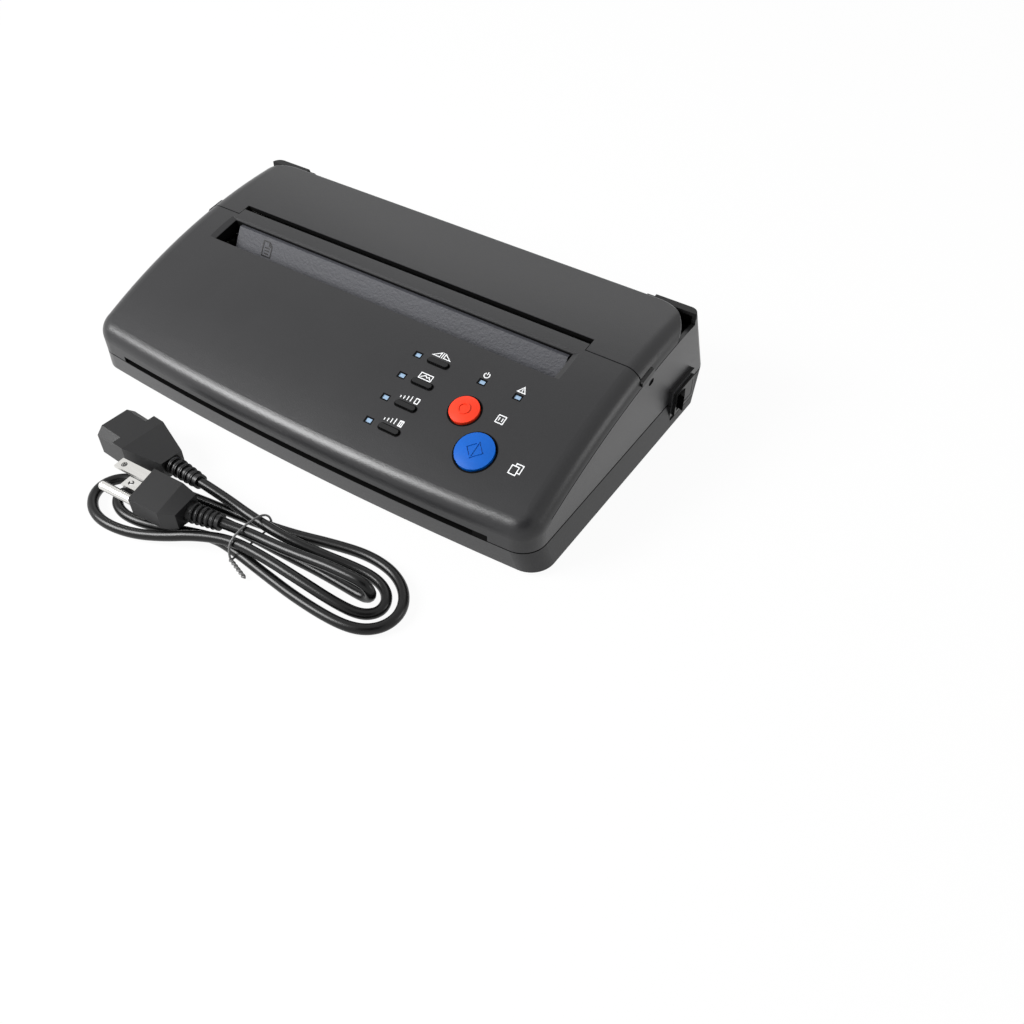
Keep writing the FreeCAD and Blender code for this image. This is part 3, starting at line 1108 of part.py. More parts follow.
bezel = block("bezel", (S.padX, S.switchY - S.bezelLong / 2, S.switchZ - S.bezelHigh / 2),
              (S.padX + S.bezelThick, S.switchY + S.bezelLong / 2, S.switchZ + S.bezelHigh / 2))
switchBody = block("switchBody", (S.padX - S.switchDepth, S.switchY - S.switchBodyLong / 2,
                   S.switchZ - S.switchBodyHigh / 2), (S.padX, S.switchY + S.switchBodyLong / 2,
                   S.switchZ + S.switchBodyHigh / 2))
rockerX = S.padX - S.rockerAxisIn
openHalf = S.openLong / 2
switchOpen = block("switchOpen", (S.padX - S.openDeep, S.switchY - openHalf, S.switchZ - S.openHigh / 2),
                   (S.padX + S.bezelThick, S.switchY + openHalf, S.switchZ + S.openHigh / 2))
axleLong = S.rockerHigh + 2 * S.axleReach
axleSeat = rod("axleSeat", S.axleRadius + S.runningFit, axleLong + 2 * S.runningFit,
               (rockerX, S.switchY, S.switchZ - axleLong / 2 - S.runningFit))
node("rocker_frame", cut("rockerFrame", fuse("rockerFrameSolid", bezel, switchBody), switchOpen, axleSeat))
wing = S.rockerLong / 2
rockerShape = prism("rockerShape", "XY", [(-S.rockerIn, -S.rockerIn), (S.rockerWing, -wing), (S.rockerMid, 0),
                    (S.rockerWing, wing), (-S.rockerIn, S.rockerIn)], -S.rockerHigh / 2, S.rockerHigh)
axle = rod("rockerAxle", S.axleRadius, axleLong, (0, 0, -axleLong / 2))
rocker = fuse("rockerSolid", rockerShape, axle)
rocker.Placement = Placement(Vector(rockerX.value, S.switchY.value, S.switchZ.value),
                             Rotation(Vector(0, 0, 1), S.rockerTilt.value))
node("rocker", rocker)
switchTabs = []
for number in range(3):
    y = S.switchY + S.tabPitch * (number - 1)
    switchTabs.append(block(f"switchTab{number}", (S.padX - S.switchDepth - S.tabLong, y - S.tabThick / 2,
                            S.switchZ - S.tabWide / 2), (S.padX - S.switchDepth, y + S.tabThick / 2,
                            S.switchZ + S.tabWide / 2)))
node("switch_tabs", group("switchTabs", *switchTabs))

# Mains inlet in the rear pocket

flangeWide = inletBodyWide + 2 * S.inletRim
flangeHigh = inletBodyHigh + 2 * S.inletRim
inletFront = S.inletFloorY + S.inletRimThick
inletSolid = fuse("inletSolid", block(
    "inletFlange", (S.inletX - flangeWide / 2, S.inletFloorY, S.inletZ - flangeHigh / 2),
    (S.inletX + flangeWide / 2, inletFront, S.inletZ + flangeHigh / 2)), block(
    "inletBody", (S.inletX - inletBodyWide / 2, inletFront - S.inletDeep - S.inletWall,
                  S.inletZ - inletBodyHigh / 2),
    (S.inletX + inletBodyWide / 2, inletFront, S.inletZ + inletBodyHigh / 2)))
halfWide = S.inletWide / 2
halfHigh = S.inletHigh / 2
inletHollow = prism("inletHollow", "XZ", [
    (S.inletX - halfWide, S.inletZ - halfHigh), (S.inletX + halfWide, S.inletZ - halfHigh),
    (S.inletX + halfWide, S.inletZ + halfHigh - S.inletChamfer),
    (S.inletX + halfWide - S.inletChamfer, S.inletZ + halfHigh),
    (S.inletX - halfWide + S.inletChamfer, S.inletZ + halfHigh),
    (S.inletX - halfWide, S.inletZ + halfHigh - S.inletChamfer)], -inletFront, S.inletDeep)
inletPins = []
pinHoles = []
pinBack = inletFront - S.inletDeep - S.inletWall - S.inletTail
for number in range(3):
    x = S.inletX + S.pinPitch * (number - 1)
    z = S.inletZ + (S.pinEarthLift / 2 if number == 1 else -S.pinEarthLift / 2)
    low = (x - S.pinThick / 2, pinBack, z - S.pinWide / 2)
    top = (x + S.pinThick / 2, pinBack + S.pinLong, z + S.pinWide / 2)
    inletPins.append(block(f"inletPin{number}", low, top))
    pinHoles.append(block(f"inletPinHole{number}", low, top))
node("power_inlet", cut("powerInlet", inletSolid, inletHollow, *pinHoles))
node("inlet_pins", group("inletPins", *inletPins))

# Feet and screws

feet = []
for number, (x, y) in enumerate(footSpots):
    disc = rod(f"footDisc{number}", S.footRadius, S.footHeight, (x, y, 0))
    feet.append(fuse(f"foot{number}", disc, rod(f"footPeg{number}", S.pegRadius, floorTop, (x, y, 0))))
node("rubber_feet", group("rubberFeet", *feet))
screws = []
for number, (x, y) in enumerate(screwSpots):
    head = rod(f"screwHead{number}", S.screwHead, S.screwHeadThick, (x, y, S.footHeight - S.screwHeadThick))
    shank = rod(f"screwShank{number}", S.screwShank, S.screwReach + S.screwHeadThick,
                (x, y, S.footHeight - S.screwHeadThick))
    screws.append(fuse(f"screw{number}", head, shank))
node("case_screws", group("caseScrews", *screws))

# Mains lead: a tied hank in front of the case, from the appliance connector to the wall plug

leadRoute = [
    (-24.0, -128.2, 9.0), (-6.0, -129.6, 9.3), (14.0, -132.3, 9.7), (36.0, -132.8, 8.5), (56.0, -129.5, 5.6),
    (73.0, -125.8, 3.4), (85.0, -125.2, 2.9), (94.3, -128.4, 2.9), (99.4, -134.6, 2.9), (99.2, -141.4, 2.9),
    (93.2, -146.6, 3.4), (81.0, -148.8, 5.8), (60.0, -149.0, 8.6), (38.0, -148.2, 9.5), (18.0, -149.0, 10.0),
    (0.0, -155.2, 8.4), (-16.0, -162.8, 4.8), (-31.0, -168.6, 2.9), (-45.5, -171.4, 2.9),
    (-57.5, -169.8, 2.9), (-66.6, -163.4, 2.9), (-70.2, -154.4, 2.9), (-67.0, -146.0, 2.9),
    (-58.6, -140.9, 2.9), (-42.0, -137.0, 2.9), (-19.0, -133.6, 2.9), (2.0, -131.3, 3.1), (20.0, -129.2, 3.9),
    (36.0, -125.5, 3.2), (54.0, -120.0, 2.9), (72.0, -116.0, 2.9), (87.0, -116.8, 2.9), (98.4, -121.6, 2.9),
    (105.8, -129.4, 2.9), (108.4, -138.6, 2.9), (105.6, -147.4, 2.9), (97.8, -153.4, 2.9),
    (85.0, -155.6, 2.9), (62.0, -154.8, 2.9), (40.0, -152.2, 3.2), (22.0, -150.0, 3.9), (5.0, -148.4, 3.2),
    (-11.0, -153.4, 2.9), (-25.0, -158.8, 2.9), (-37.0, -161.8, 2.9), (-47.0, -161.6, 2.9),
    (-54.2, -158.2, 2.9), (-57.4, -153.2, 2.9), (-54.8, -148.2, 2.9), (-47.0, -145.4, 2.9),
    (-31.0, -142.4, 2.9), (-10.0, -139.4, 3.1), (8.0, -138.5, 3.5), (24.0, -138.2, 3.9), (42.0, -137.4, 3.2),
    (58.0, -136.6, 2.9), (72.0, -136.7, 2.9), (82.0, -137.0, 2.9), (88.6, -137.1, 3.2), (92.0, -137.2, 5.6),
    (93.2, -137.4, 9.2), (91.8, -137.6, 12.8), (88.4, -137.9, 15.0), (81.4, -138.4, 15.4),
    (69.0, -139.0, 14.9), (50.0, -140.4, 12.6), (36.0, -141.2, 11.7), (22.0, -142.0, 11.6),
    (8.0, -145.0, 12.7),
]
cordRadius = S.cordDiameter.value / 2
arcShare = 0.45


def routeWire(route):
    # Straight runs joined by tangent arcs, and the least radius and length of the path
    points = [Vector(*point) for point in route]
    edges = []
    radii = []
    start = points[0]
    for before, corner, after in zip(points, points[1:], points[2:]):
        inward = (corner - before).normalize()
        outward = (after - corner).normalize()
        half = inward.getAngle(outward) / 2
        reach = arcShare * min(before.distanceToPoint(corner), corner.distanceToPoint(after))
        radii.append(reach / math.tan(half))
        first = corner - inward * reach
        last = corner + outward * reach
        bisector = (outward - inward).normalize()
        middle = corner + bisector * (reach * (1 - math.cos(half)) / math.sin(half))
        edges.append(Part.LineSegment(start, first).toShape())
        edges.append(Part.Arc(first, middle, last).toShape())
        start = last
    edges.append(Part.LineSegment(start, points[-1]).toShape())
    return Part.Wire(edges), radii


def tube(name, route, radius):
    wire, radii = routeWire(route)
    start = Vector(*route[0])
    along = Vector(*route[1]) - start
    ring = Part.Wire(Part.makeCircle(radius, start, along))
    item = doc.addObject("Part::Feature", name)
    item.Shape = wire.makePipeShell([ring], True, True)
    expected = math.pi * radius ** 2 * wire.Length
    print(f"{name}: length {wire.Length:.1f}, volume over section times length "
          f"{item.Shape.Volume / expected:.4f}, least radius {min(radii):.1f}")
    print(f"{name} radii:", " ".join(f"{value:.0f}" for value in radii))
    return item, wire


apartShare = 8


def leastGap(name, wire, radius):
    # Least gap between stretches of the tube that lie more than a few diameters apart along it
    step = radius
    points = wire.discretize(Distance=step)
    apart = int(apartShare * radius / step)
    least = min(points[i].distanceToPoint(points[j]) for i in range(0, len(points))
                for j in range(i + apart, len(points)))
    print(f"{name}: least gap to itself {least - 2 * radius:.2f}")


lead, leadWire = tube("mainsLead", leadRoute, cordRadius)
leastGap("mainsLead", leadWire, cordRadius)
node("mains_cord", lead)


def facing(point, toward):
    # Local frame at a point: x runs level towards a heading, z is up
    heading = math.degrees(math.atan2(toward.y, toward.x))
    return Placement(point, Rotation(Vector(0, 0, 1), heading))


grooveShare = 0.4


def ribbedBoot(name, start, along, length, wide, tip):
    # Tapered strain relief with grooves; its tip meets the cord squarely
    body = cone(name + "Cone", tip, wide, length, (0, 0, 0))
    grooves = []
    pitch = length / (S.ribCount + 1)
    for number in range(int(S.ribCount.value)):
        low = pitch * (number + grooveShare)
        ring = rod(f"{name}Ring{number}", 2 * wide, pitch / 2, (0, 0, low))
        core = rod(f"{name}Core{number}", tip - S.ribDeep / 2, pitch / 2, (0, 0, low))
        grooves.append(cut(f"{name}Groove{number}", ring, core))
    boot = cut(name, body, *grooves)
    boot.Placement = Placement(start, Rotation(Vector(0, 0, 1), along))
    return boot


# Appliance connector on its flat side

leadStart = Vector(*leadRoute[0])
awayFromLead = (leadStart - Vector(*leadRoute[1])).normalize()
socketRear = leadStart + awayFromLead * S.reliefLong.value
socketPlace = facing(Vector(socketRear.x, socketRear.y, 0), awayFromLead)
noseLow = (S.gripHigh - S.socketHigh) / 2
noseHigh = noseLow + S.socketHigh
noseHalf = S.socketWide / 2
gripEnd = S.shoulderLong + S.gripLong
socketNose = prism("socketNose", "YZ", [
    (-noseHalf, noseLow), (noseHalf, noseLow), (noseHalf, noseHigh - S.socketChamfer),
    (noseHalf - S.socketChamfer, noseHigh), (-noseHalf + S.socketChamfer, noseHigh),
    (-noseHalf, noseHigh - S.socketChamfer)], gripEnd, S.socketLong)
socketGrip = block("socketGrip", (S.shoulderLong, -S.gripWide / 2, 0), (gripEnd, S.gripWide / 2, S.gripHigh))
shoulder = loft("socketShoulder", "YZ",
                rectangle(-S.shoulderWide / 2, S.shoulderWide / 2, (S.gripHigh - S.shoulderHigh) / 2,
                          (S.gripHigh + S.shoulderHigh) / 2),
                rectangle(-S.gripWide / 2, S.gripWide / 2, 0, S.gripHigh), -S.shoulderBite,
                S.shoulderLong + S.shoulderBite)
slots = []
socketFace = gripEnd + S.socketLong
for number in range(3):
    y = S.contactPitch * (number - 1)
    z = S.gripHigh / 2 + (S.contactLift / 2 if number == 1 else -S.contactLift / 2)
    slots.append(block(f"contactSlot{number}", (socketFace - S.contactDeep, y - S.contactHigh / 2,
                       z - S.contactWide / 2), (socketFace, y + S.contactHigh / 2, z + S.contactWide / 2)))
socketSolid = fuse("socketSolid", socketNose, socketGrip, shoulder)
socketPart = placed("socketPlace", socketPlace, cut("socketCut", socketSolid, *slots))
socketBoot = ribbedBoot("socketBoot", leadStart, awayFromLead, S.reliefLong, S.reliefRadius, S.reliefTip)
node("appliance_connector", fuse("applianceConnector", socketPart, socketBoot))

# Wall plug on its side, its pins stacked one above the other

leadEnd = Vector(*leadRoute[-1])
awayFromEnd = (leadEnd - Vector(*leadRoute[-2])).normalize()
plugYaw = Rotation(Vector(0, 0, 1), S.plugYaw.value)
plugWide = S.plugFar - S.plugNear
plugOrigin = Vector(S.plugX.value, S.plugFar.value, S.plugMidZ.value)
plugPlace = Placement(plugOrigin, plugYaw)
farHalf = S.plugFarHigh / 2
nearHalf = S.plugNearHigh / 2
plugEnd = [(-plugWide, -nearHalf), (0, -farHalf), (0, farHalf), (-plugWide, nearHalf)]
rearShares = ((0.80, 0.92), (0.02, 0.68))
plugRear = [(-plugWide * rearShares[0][0], -nearHalf * rearShares[0][1]),
            (-plugWide * rearShares[1][0], -farHalf * rearShares[1][1]),
            (-plugWide * rearShares[1][0], farHalf * rearShares[1][1]),
            (-plugWide * rearShares[0][0], nearHalf * rearShares[0][1])]
plugFront = prism("plugFront", "YZ", plugEnd, -S.plugLong, S.plugLong - S.plugTaper)
plugBack = loft("plugBack", "YZ", plugEnd, plugRear, -S.plugTaper, S.plugTaper)
bladeY = -S.bladeInset
earthY = bladeY - S.earthOffset
plugPins = []
pinSeats = []
for side in (-1, 1):
    low = side * S.bladePitch / 2 - S.bladeThick / 2
    corner = (-S.plugLong - S.bladeLong, bladeY - S.bladeWide / 2, low)
    far = (-S.plugLong + S.plugTaper, bladeY + S.bladeWide / 2, low + S.bladeThick)
    hole = rod(f"bladeHole{side}", S.bladeHole, S.bladeThick,
               (-S.plugLong - S.bladeLong + S.bladeInset, bladeY, low))
    plugPins.append(cut(f"blade{side}", block(f"bladeBar{side}", corner, far), hole))
    pinSeats.append(block(f"bladeSeat{side}", corner, far))
earthLong = S.bladeLong + S.earthExtra
earthTip = -S.plugLong - earthLong
plugPins.append(fuse("earthPin", rod("earthShank", S.earthRadius, earthLong - S.earthRadius + S.plugTaper,
                     (earthTip + S.earthRadius, earthY, 0), "X"),
                     ball("earthNose", S.earthRadius, (earthTip + S.earthRadius, earthY, 0))))
pinSeats.append(rod("earthSeat", S.earthRadius, earthLong + S.plugTaper, (earthTip, earthY, 0), "X"))
plugCut = cut("plugCut", fuse("plugSolid", plugFront, plugBack), *pinSeats)
plugBoot = ribbedBoot("plugBoot", leadEnd, awayFromEnd, S.bootLong, S.bootRadius, S.bootTip)
node("mains_plug", fuse("mainsPlug", placed("plugBody", plugPlace, plugCut), plugBoot))
node("plug_pins", placed("plugPins", plugPlace, *plugPins))

# Wire tie round the waist of the hank, with its two tails side by side

tieRoute = [
    (33.0, -158.4, 1.7), (26.0, -156.4, 2.2), (20.4, -154.4, 4.8), (20.4, -153.8, 9.2), (20.6, -151.8, 13.4),
    (20.8, -145.8, 15.4), (20.8, -138.4, 15.2), (20.6, -131.0, 13.2), (20.4, -126.8, 9.4),
    (20.2, -125.4, 4.6), (20.1, -126.0, 1.0), (19.9, -130.2, 0.42), (19.7, -139.4, 0.5), (19.5, -148.4, 0.42),
    (19.7, -153.4, 0.6), (23.4, -156.2, 0.9), (31.5, -159.0, 0.6),
]
tie, tieWire = tube("cordTie", tieRoute, S.tieRadius.value)
leastGap("cordTie", tieWire, S.tieRadius.value)
node("cord_tie", tie)

doc.recompute()
os.makedirs("parts", exist_ok=True)
for item in doc.Objects:
    if "Invalid" in item.State or "Error" in item.State:
        raise RuntimeError(f"{item.Name} {item.Label}: {item.State}")
for item in nodes:
    shape = item.Shape
    if shape.isNull() or not shape.isValid():
        raise RuntimeError(f"{item.Label} has no valid shape")
    print(item.Label, len(shape.Solids), round(shape.Volume), shape.BoundBox)
    shape.exportStep(f"parts/{item.Label}.step")
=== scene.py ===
import math

import bmesh
import bpy
from mathutils import Matrix, Vector


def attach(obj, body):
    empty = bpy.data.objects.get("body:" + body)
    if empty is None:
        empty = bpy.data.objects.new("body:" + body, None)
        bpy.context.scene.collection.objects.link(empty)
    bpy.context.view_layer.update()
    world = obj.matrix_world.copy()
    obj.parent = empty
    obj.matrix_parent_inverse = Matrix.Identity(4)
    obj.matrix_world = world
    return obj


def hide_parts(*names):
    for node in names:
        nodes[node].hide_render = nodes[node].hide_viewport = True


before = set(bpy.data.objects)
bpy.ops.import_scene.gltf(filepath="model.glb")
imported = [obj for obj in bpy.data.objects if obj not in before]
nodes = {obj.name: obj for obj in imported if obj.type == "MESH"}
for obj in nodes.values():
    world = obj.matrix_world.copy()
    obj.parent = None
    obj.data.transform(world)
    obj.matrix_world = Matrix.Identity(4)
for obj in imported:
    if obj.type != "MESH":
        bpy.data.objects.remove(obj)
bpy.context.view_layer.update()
print("frame:", len(nodes), "nodes")

mm = 0.001


# Shader maths: a Wire is one socket, and sums and products on it add Math nodes

class Wire:
    def __init__(self, owner, socket):
        self.owner = owner
        self.socket = socket

    def math(self, operation, *values):
        return self.owner.add("ShaderNodeMath", {"operation": operation}, values)

    def __add__(self, other):
        return self.math("ADD", self, other)

    def __radd__(self, other):
        return self.math("ADD", other, self)

    def __sub__(self, other):
        return self.math("SUBTRACT", self, other)

    def __rsub__(self, other):
        return self.math("SUBTRACT", other, self)

    def __mul__(self, other):
        return self.math("MULTIPLY", self, other)

    def __rmul__(self, other):
        return self.math("MULTIPLY", other, self)

    def __gt__(self, other):
        return self.math("GREATER_THAN", self, other)

    def __lt__(self, other):
        return self.math("LESS_THAN", self, other)

    def clamped(self):
        return self.owner.add("ShaderNodeClamp", {}, [self, 0.0, 1.0])

    def beside(self, label):
        # Another output of the node that this one comes from
        return Wire(self.owner, self.socket.node.outputs[label])


class Nodes:
    # Adds nodes to one shader tree and feeds them
    def __init__(self, tree):
        self.tree = tree

    def feed(self, node, label, value):
        if isinstance(value, Wire):
            self.tree.links.new(value.socket, node.inputs[label])
        else:
            node.inputs[label].default_value = value

    def add(self, kind, settings, inputs, out=0):
        node = self.tree.nodes.new(kind)
        for label, value in settings.items():
            setattr(node, label, value)
        for place, value in inputs.items() if isinstance(inputs, dict) else enumerate(inputs):
            self.feed(node, place, value)
        return Wire(self, node.outputs[out])

    def place(self):
        return self.add("ShaderNodeTexCoord", {}, {}, "Object")

    def noise(self, scale, detail=2.0, rough=0.5, at=None):
        inputs = {"Vector": at or self.place(), "Scale": scale, "Detail": detail, "Roughness": rough}
        return self.add("ShaderNodeTexNoise", {}, inputs)

    def split(self):
        across = self.add("ShaderNodeSeparateXYZ", {}, [self.place()])
        return [across.beside(axis) for axis in range(3)]

    def blendColours(self, share, first, second):
        ends = [value if isinstance(value, Wire) else (*value, 1.0) for value in (first, second)]
        return self.add("ShaderNodeMix", {"data_type": "RGBA"}, {0: share, 6: ends[0], 7: ends[1]}, 2)

    def bump(self, height, strength, distance):
        return self.add("ShaderNodeBump", {}, {"Strength": strength, "Distance": distance, "Height": height})

    def shownRays(self):
        # 1 for camera, glossy and transmission rays, which see the plain background
        camera = self.add("ShaderNodeLightPath", {}, {}, "Is Camera Ray")
        glossy = camera.math("MAXIMUM", camera, camera.beside("Is Glossy Ray"))
        return glossy.math("MAXIMUM", glossy, camera.beside("Is Transmission Ray"))


class Finish(Nodes):
    # One material on the plain shader; what is the same all over goes on the shader's own sockets
    def __init__(self, name, colour, rough=0.5, metal=0.0, **sockets):
        self.material = bpy.data.materials.new(name)
        self.material.use_nodes = True
        super().__init__(self.material.node_tree)
        self.shader = self.tree.nodes["Principled BSDF"]
        self.put("Base Color", (*colour, 1.0))
        self.put("Roughness", rough)
        self.put("Metallic", metal)
        for label, value in sockets.items():
            self.put(label.replace("_", " "), value)

    def put(self, label, value):
        self.feed(self.shader, label, value)

    def overlay(self, share, other):
        # Another shader in place of the plain one where the share is 1
        mixed = self.add("ShaderNodeMixShader", {}, [share, Wire(self, self.shader.outputs[0]), other])
        self.feed(self.tree.nodes["Material Output"], "Surface", mixed)


def scaled(colour, share):
    return tuple(value * share for value in colour)


skinLook = {"detail": 3.0, "rough": 0.65, "cloud": 38.0, "smoother": 0.05, "bySpot": 0.06, "byCloud": 0.04}


def skinNoise(made, grain):
    # Fine grain of a moulded skin, and the slow cloud over it
    return made.noise(grain, skinLook["detail"], skinLook["rough"]), made.noise(skinLook["cloud"])


def skinRough(rough, spot, cloud):
    return rough - skinLook["smoother"] + spot * skinLook["bySpot"] + cloud * skinLook["byCloud"]


def mouldedFinish(name, colour, rough, grain=1500.0, strength=0.35, mottle=0.12, depth=0.00008, **sockets):
    # Moulded skin: fine even grain, a little variation in tone and gloss
    made = Finish(name, colour, **sockets)
    spot, cloud = skinNoise(made, grain)
    tone = (spot * 0.5 + cloud * 0.5).clamped()
    made.put("Base Color", made.blendColours(tone, scaled(colour, 1 - mottle), scaled(colour, 1 + mottle)))
    made.put("Roughness", skinRough(rough, spot, cloud).clamped())
    made.put("Normal", made.bump(spot, strength, depth))
    return made.material


metalLines = {"squeeze": (0.04, 1.0, 1.0), "scale": 900.0, "detail": 2.0, "rough": 0.6, "spread": 0.12,
              "shade": 0.85, "depth": 0.00005}


def metalFinish(name, colour, rough, strength=0.12):
    # Drawn or turned metal: fine lines along X
    made = Finish(name, colour, metal=1.0)
    at = made.add("ShaderNodeMapping", {}, {"Vector": made.place(), "Scale": metalLines["squeeze"]})
    line = made.noise(metalLines["scale"], metalLines["detail"], metalLines["rough"], at)
    made.put("Roughness", (rough - metalLines["spread"] / 2 + line * metalLines["spread"]).clamped())
    made.put("Base Color", made.blendColours(line, scaled(colour, metalLines["shade"]), colour))
    made.put("Normal", made.bump(line, strength, metalLines["depth"]))
    return made.material


crown = {"top": 63.3, "back": 64.6, "radius": 362.0}  # the arc of the crowned top, in millimetres

finishLook = {
    # The near-black colour after the case colour is painted shade, with its roughness and gloss below: it
    # darkens the case's slots, front lip and inside, the dark seam, and at part share the ears' own darker
    # tone
    "case": (0.020, 0.020, 0.0212), "paintedShadeInside": (0.003, 0.003, 0.003), "caseRough": 0.31,
    "caseGloss": 0.38, "caseGrain": 1500.0, "spotShare": 0.7, "cloudShare": 0.3, "caseMottle": 0.25,
    "caseBump": 0.6, "caseDepth": 0.0001, "darkRougher": 0.4, "paintedShadeRough": 0.8, "paintedShadeGloss": 0.04,
    "trim": (0.005, 0.005, 0.0052), "guide": (0.034, 0.035, 0.043),
    "red": (0.90, 0.046, 0.014), "blue": (0.0, 0.105, 0.50),
    "windowDark": (0.19, 0.31, 0.46), "windowPale": (0.31, 0.44, 0.60), "windowFleck": 900.0,
    "windowRough": 0.22, "windowCoat": 0.6,
    "glowDark": (0.24, 0.36, 0.50), "glowPale": (0.40, 0.52, 0.66), "glow": 0.12,
    "glass": (0.55, 0.62, 0.60), "glassSmear": 60.0, "smearDetail": 3.0, "glassRough": 0.03,
    "glassSpread": 0.05, "glassAlpha": 0.45,
    "mark": (0.82, 0.83, 0.84), "lead": (0.0035, 0.0035, 0.0037), "tie": (0.13, 0.13, 0.13),
}

# Where the case is painted dark, in millimetres: painted shade in the inside, the slot and the front lip,
# the dark seam line, and the ears' own darker tone; how deep below the crowned top, how far from the middle,
# between which places front to back, and between which heights; a share below 1 is less dark
shadeAndDarkTonePlaces = {
    "paintedShadeInside": {"deep": 1.6, "half": 139.0, "front": -80.0, "back": 66.0},
    "lip": {"low": 15.3, "high": 19.4, "half": 122.5, "back": -60.0},
    "slot": {"deep": 0.4, "front": 16.5, "back": 23.5, "half": 121.8},
    "seam": {"low": 15.42, "high": 15.83},
    "ear": {"front": 68.8, "low": 57.5, "share": 0.4},
}


def caseFinishFor(colour, paintedShadeInside, rough):
    # Spark-eroded skin; near black and dull as painted shade in the slots, the front lip and the inside, with
    # the dark seam and the ears' own darker tone
    made = Finish("case plastic", colour, Specular_IOR_Level=finishLook["caseGloss"])
    spot, cloud = skinNoise(made, finishLook["caseGrain"])
    across, along, up = made.split()
    behind = along - crown["back"] * mm
    radius = crown["radius"] * mm
    arc = made.add("ShaderNodeMath", {"operation": "SQRT"}, [radius * radius - behind * behind])
    depth = (crown["top"] - crown["radius"]) * mm + arc - up
    wide = made.add("ShaderNodeMath", {"operation": "ABSOLUTE"}, [across])
    above = {"deep": depth, "front": along, "low": up}
    below = {"half": wide, "back": along, "high": up}

    def within(limits):
        # 1 inside all the limits that are given
        tests = [above[label] > value * mm for label, value in limits.items() if label in above]
        tests += [below[label] < value * mm for label, value in limits.items() if label in below]
        return math.prod(tests) * limits.get("share", 1.0)

    # Share of painted shade in the inside, the slot and the front lip, with the dark seam and the ears' own
    # darker tone
    shadeAndDarkTone = sum(within(limits) for limits in shadeAndDarkTonePlaces.values()).clamped()
    tone = (spot * finishLook["spotShare"] + cloud * finishLook["cloudShare"]).clamped()
    mottle = finishLook["caseMottle"]
    skin = made.blendColours(tone, scaled(colour, 1 - mottle), scaled(colour, 1 + mottle))
    made.put("Base Color", made.blendColours(shadeAndDarkTone, skin, paintedShadeInside))
    made.put("Roughness", (skinRough(rough, spot, cloud) + shadeAndDarkTone * finishLook["darkRougher"]).clamped())
    made.put("Normal", made.bump(spot, finishLook["caseBump"], finishLook["caseDepth"]))
    # Near-black shader with hardly any gloss over the same places: painted shade that also hides the
    # reflections there
    made.overlay(shadeAndDarkTone, made.add("ShaderNodeBsdfPrincipled", {}, {
        "Base Color": (*paintedShadeInside, 1.0), "Roughness": finishLook["paintedShadeRough"],
        "Specular IOR Level": finishLook["paintedShadeGloss"]}))
    return made.material


caseFinish = caseFinishFor(finishLook["case"], finishLook["paintedShadeInside"], finishLook["caseRough"])
trimFinish = mouldedFinish("trim plastic", finishLook["trim"], 0.34, grain=2200.0, strength=0.15,
                           Specular_IOR_Level=0.25)
wellFinish = mouldedFinish("well plastic", (0.002, 0.002, 0.002), 0.6, grain=2200.0, strength=0.1,
                           Specular_IOR_Level=0.06)
guideFinish = mouldedFinish("grained guide plastic", finishLook["guide"], 0.6, grain=620.0, strength=1.0,
                            mottle=0.45, depth=0.0003)
keyFinish = mouldedFinish("key plastic", (0.008, 0.008, 0.0085), 0.24, grain=2600.0, strength=0.1,
                          Specular_IOR_Level=0.35)
leadFinish = mouldedFinish("lead jacket", finishLook["lead"], 0.30, grain=700.0, strength=0.10, depth=0.0001,
                           Specular_IOR_Level=0.3)
tieFinish = mouldedFinish("tie coating", finishLook["tie"], 0.45, grain=2400.0, strength=0.1)
plugFinish = mouldedFinish("plug moulding", (0.008, 0.008, 0.0085), 0.38, grain=1800.0, strength=0.35,
                           Specular_IOR_Level=0.35)
rubberFinish = mouldedFinish("ground rubber", (0.02, 0.02, 0.02), 0.7, grain=3000.0, strength=0.5)
whiteFinish = mouldedFinish("acetal", (0.75, 0.75, 0.72), 0.4, grain=1500.0, strength=0.1, mottle=0.04)
partFinish = mouldedFinish("moulded component", (0.02, 0.02, 0.021), 0.5, grain=2500.0, strength=0.4)
ceramicFinish = mouldedFinish("glazed ceramic", (0.62, 0.60, 0.55), 0.25, grain=900.0, strength=0.05)
filmFinish = mouldedFinish("cable film", (0.6, 0.6, 0.6), 0.4, grain=800.0, strength=0.05)
steelFinish = metalFinish("zinc plated steel", (0.62, 0.62, 0.60), 0.32)
nickelFinish = metalFinish("nickel", (0.86, 0.85, 0.82), 0.2, strength=0.05)
brassFinish = metalFinish("brass", (0.72, 0.52, 0.22), 0.25)
sinkFinish = mouldedFinish("black anodised aluminium", (0.006, 0.006, 0.0063), 0.6, grain=1200.0,
                           strength=0.2, Specular_IOR_Level=0.1)


capLook = {"gloss": 0.3, "cloud": 220.0, "cloudDetail": 3.0, "grain": 2400.0, "shade": 0.86, "rough": 0.30,
           "spread": 0.1, "bump": 0.12, "depth": 0.00006}


def capFinish(name, colour):
    # Dyed press button: satin, with the faint cloud of a coloured moulding
    made = Finish(name, colour, Specular_IOR_Level=capLook["gloss"])
    cloud = made.noise(capLook["cloud"], capLook["cloudDetail"])
    grain = made.noise(capLook["grain"])
    made.put("Base Color", made.blendColours(cloud, scaled(colour, capLook["shade"]), colour))
    made.put("Roughness", (capLook["rough"] + grain * capLook["spread"]).clamped())
    made.put("Normal", made.bump(grain, capLook["bump"], capLook["depth"]))
    return made.material


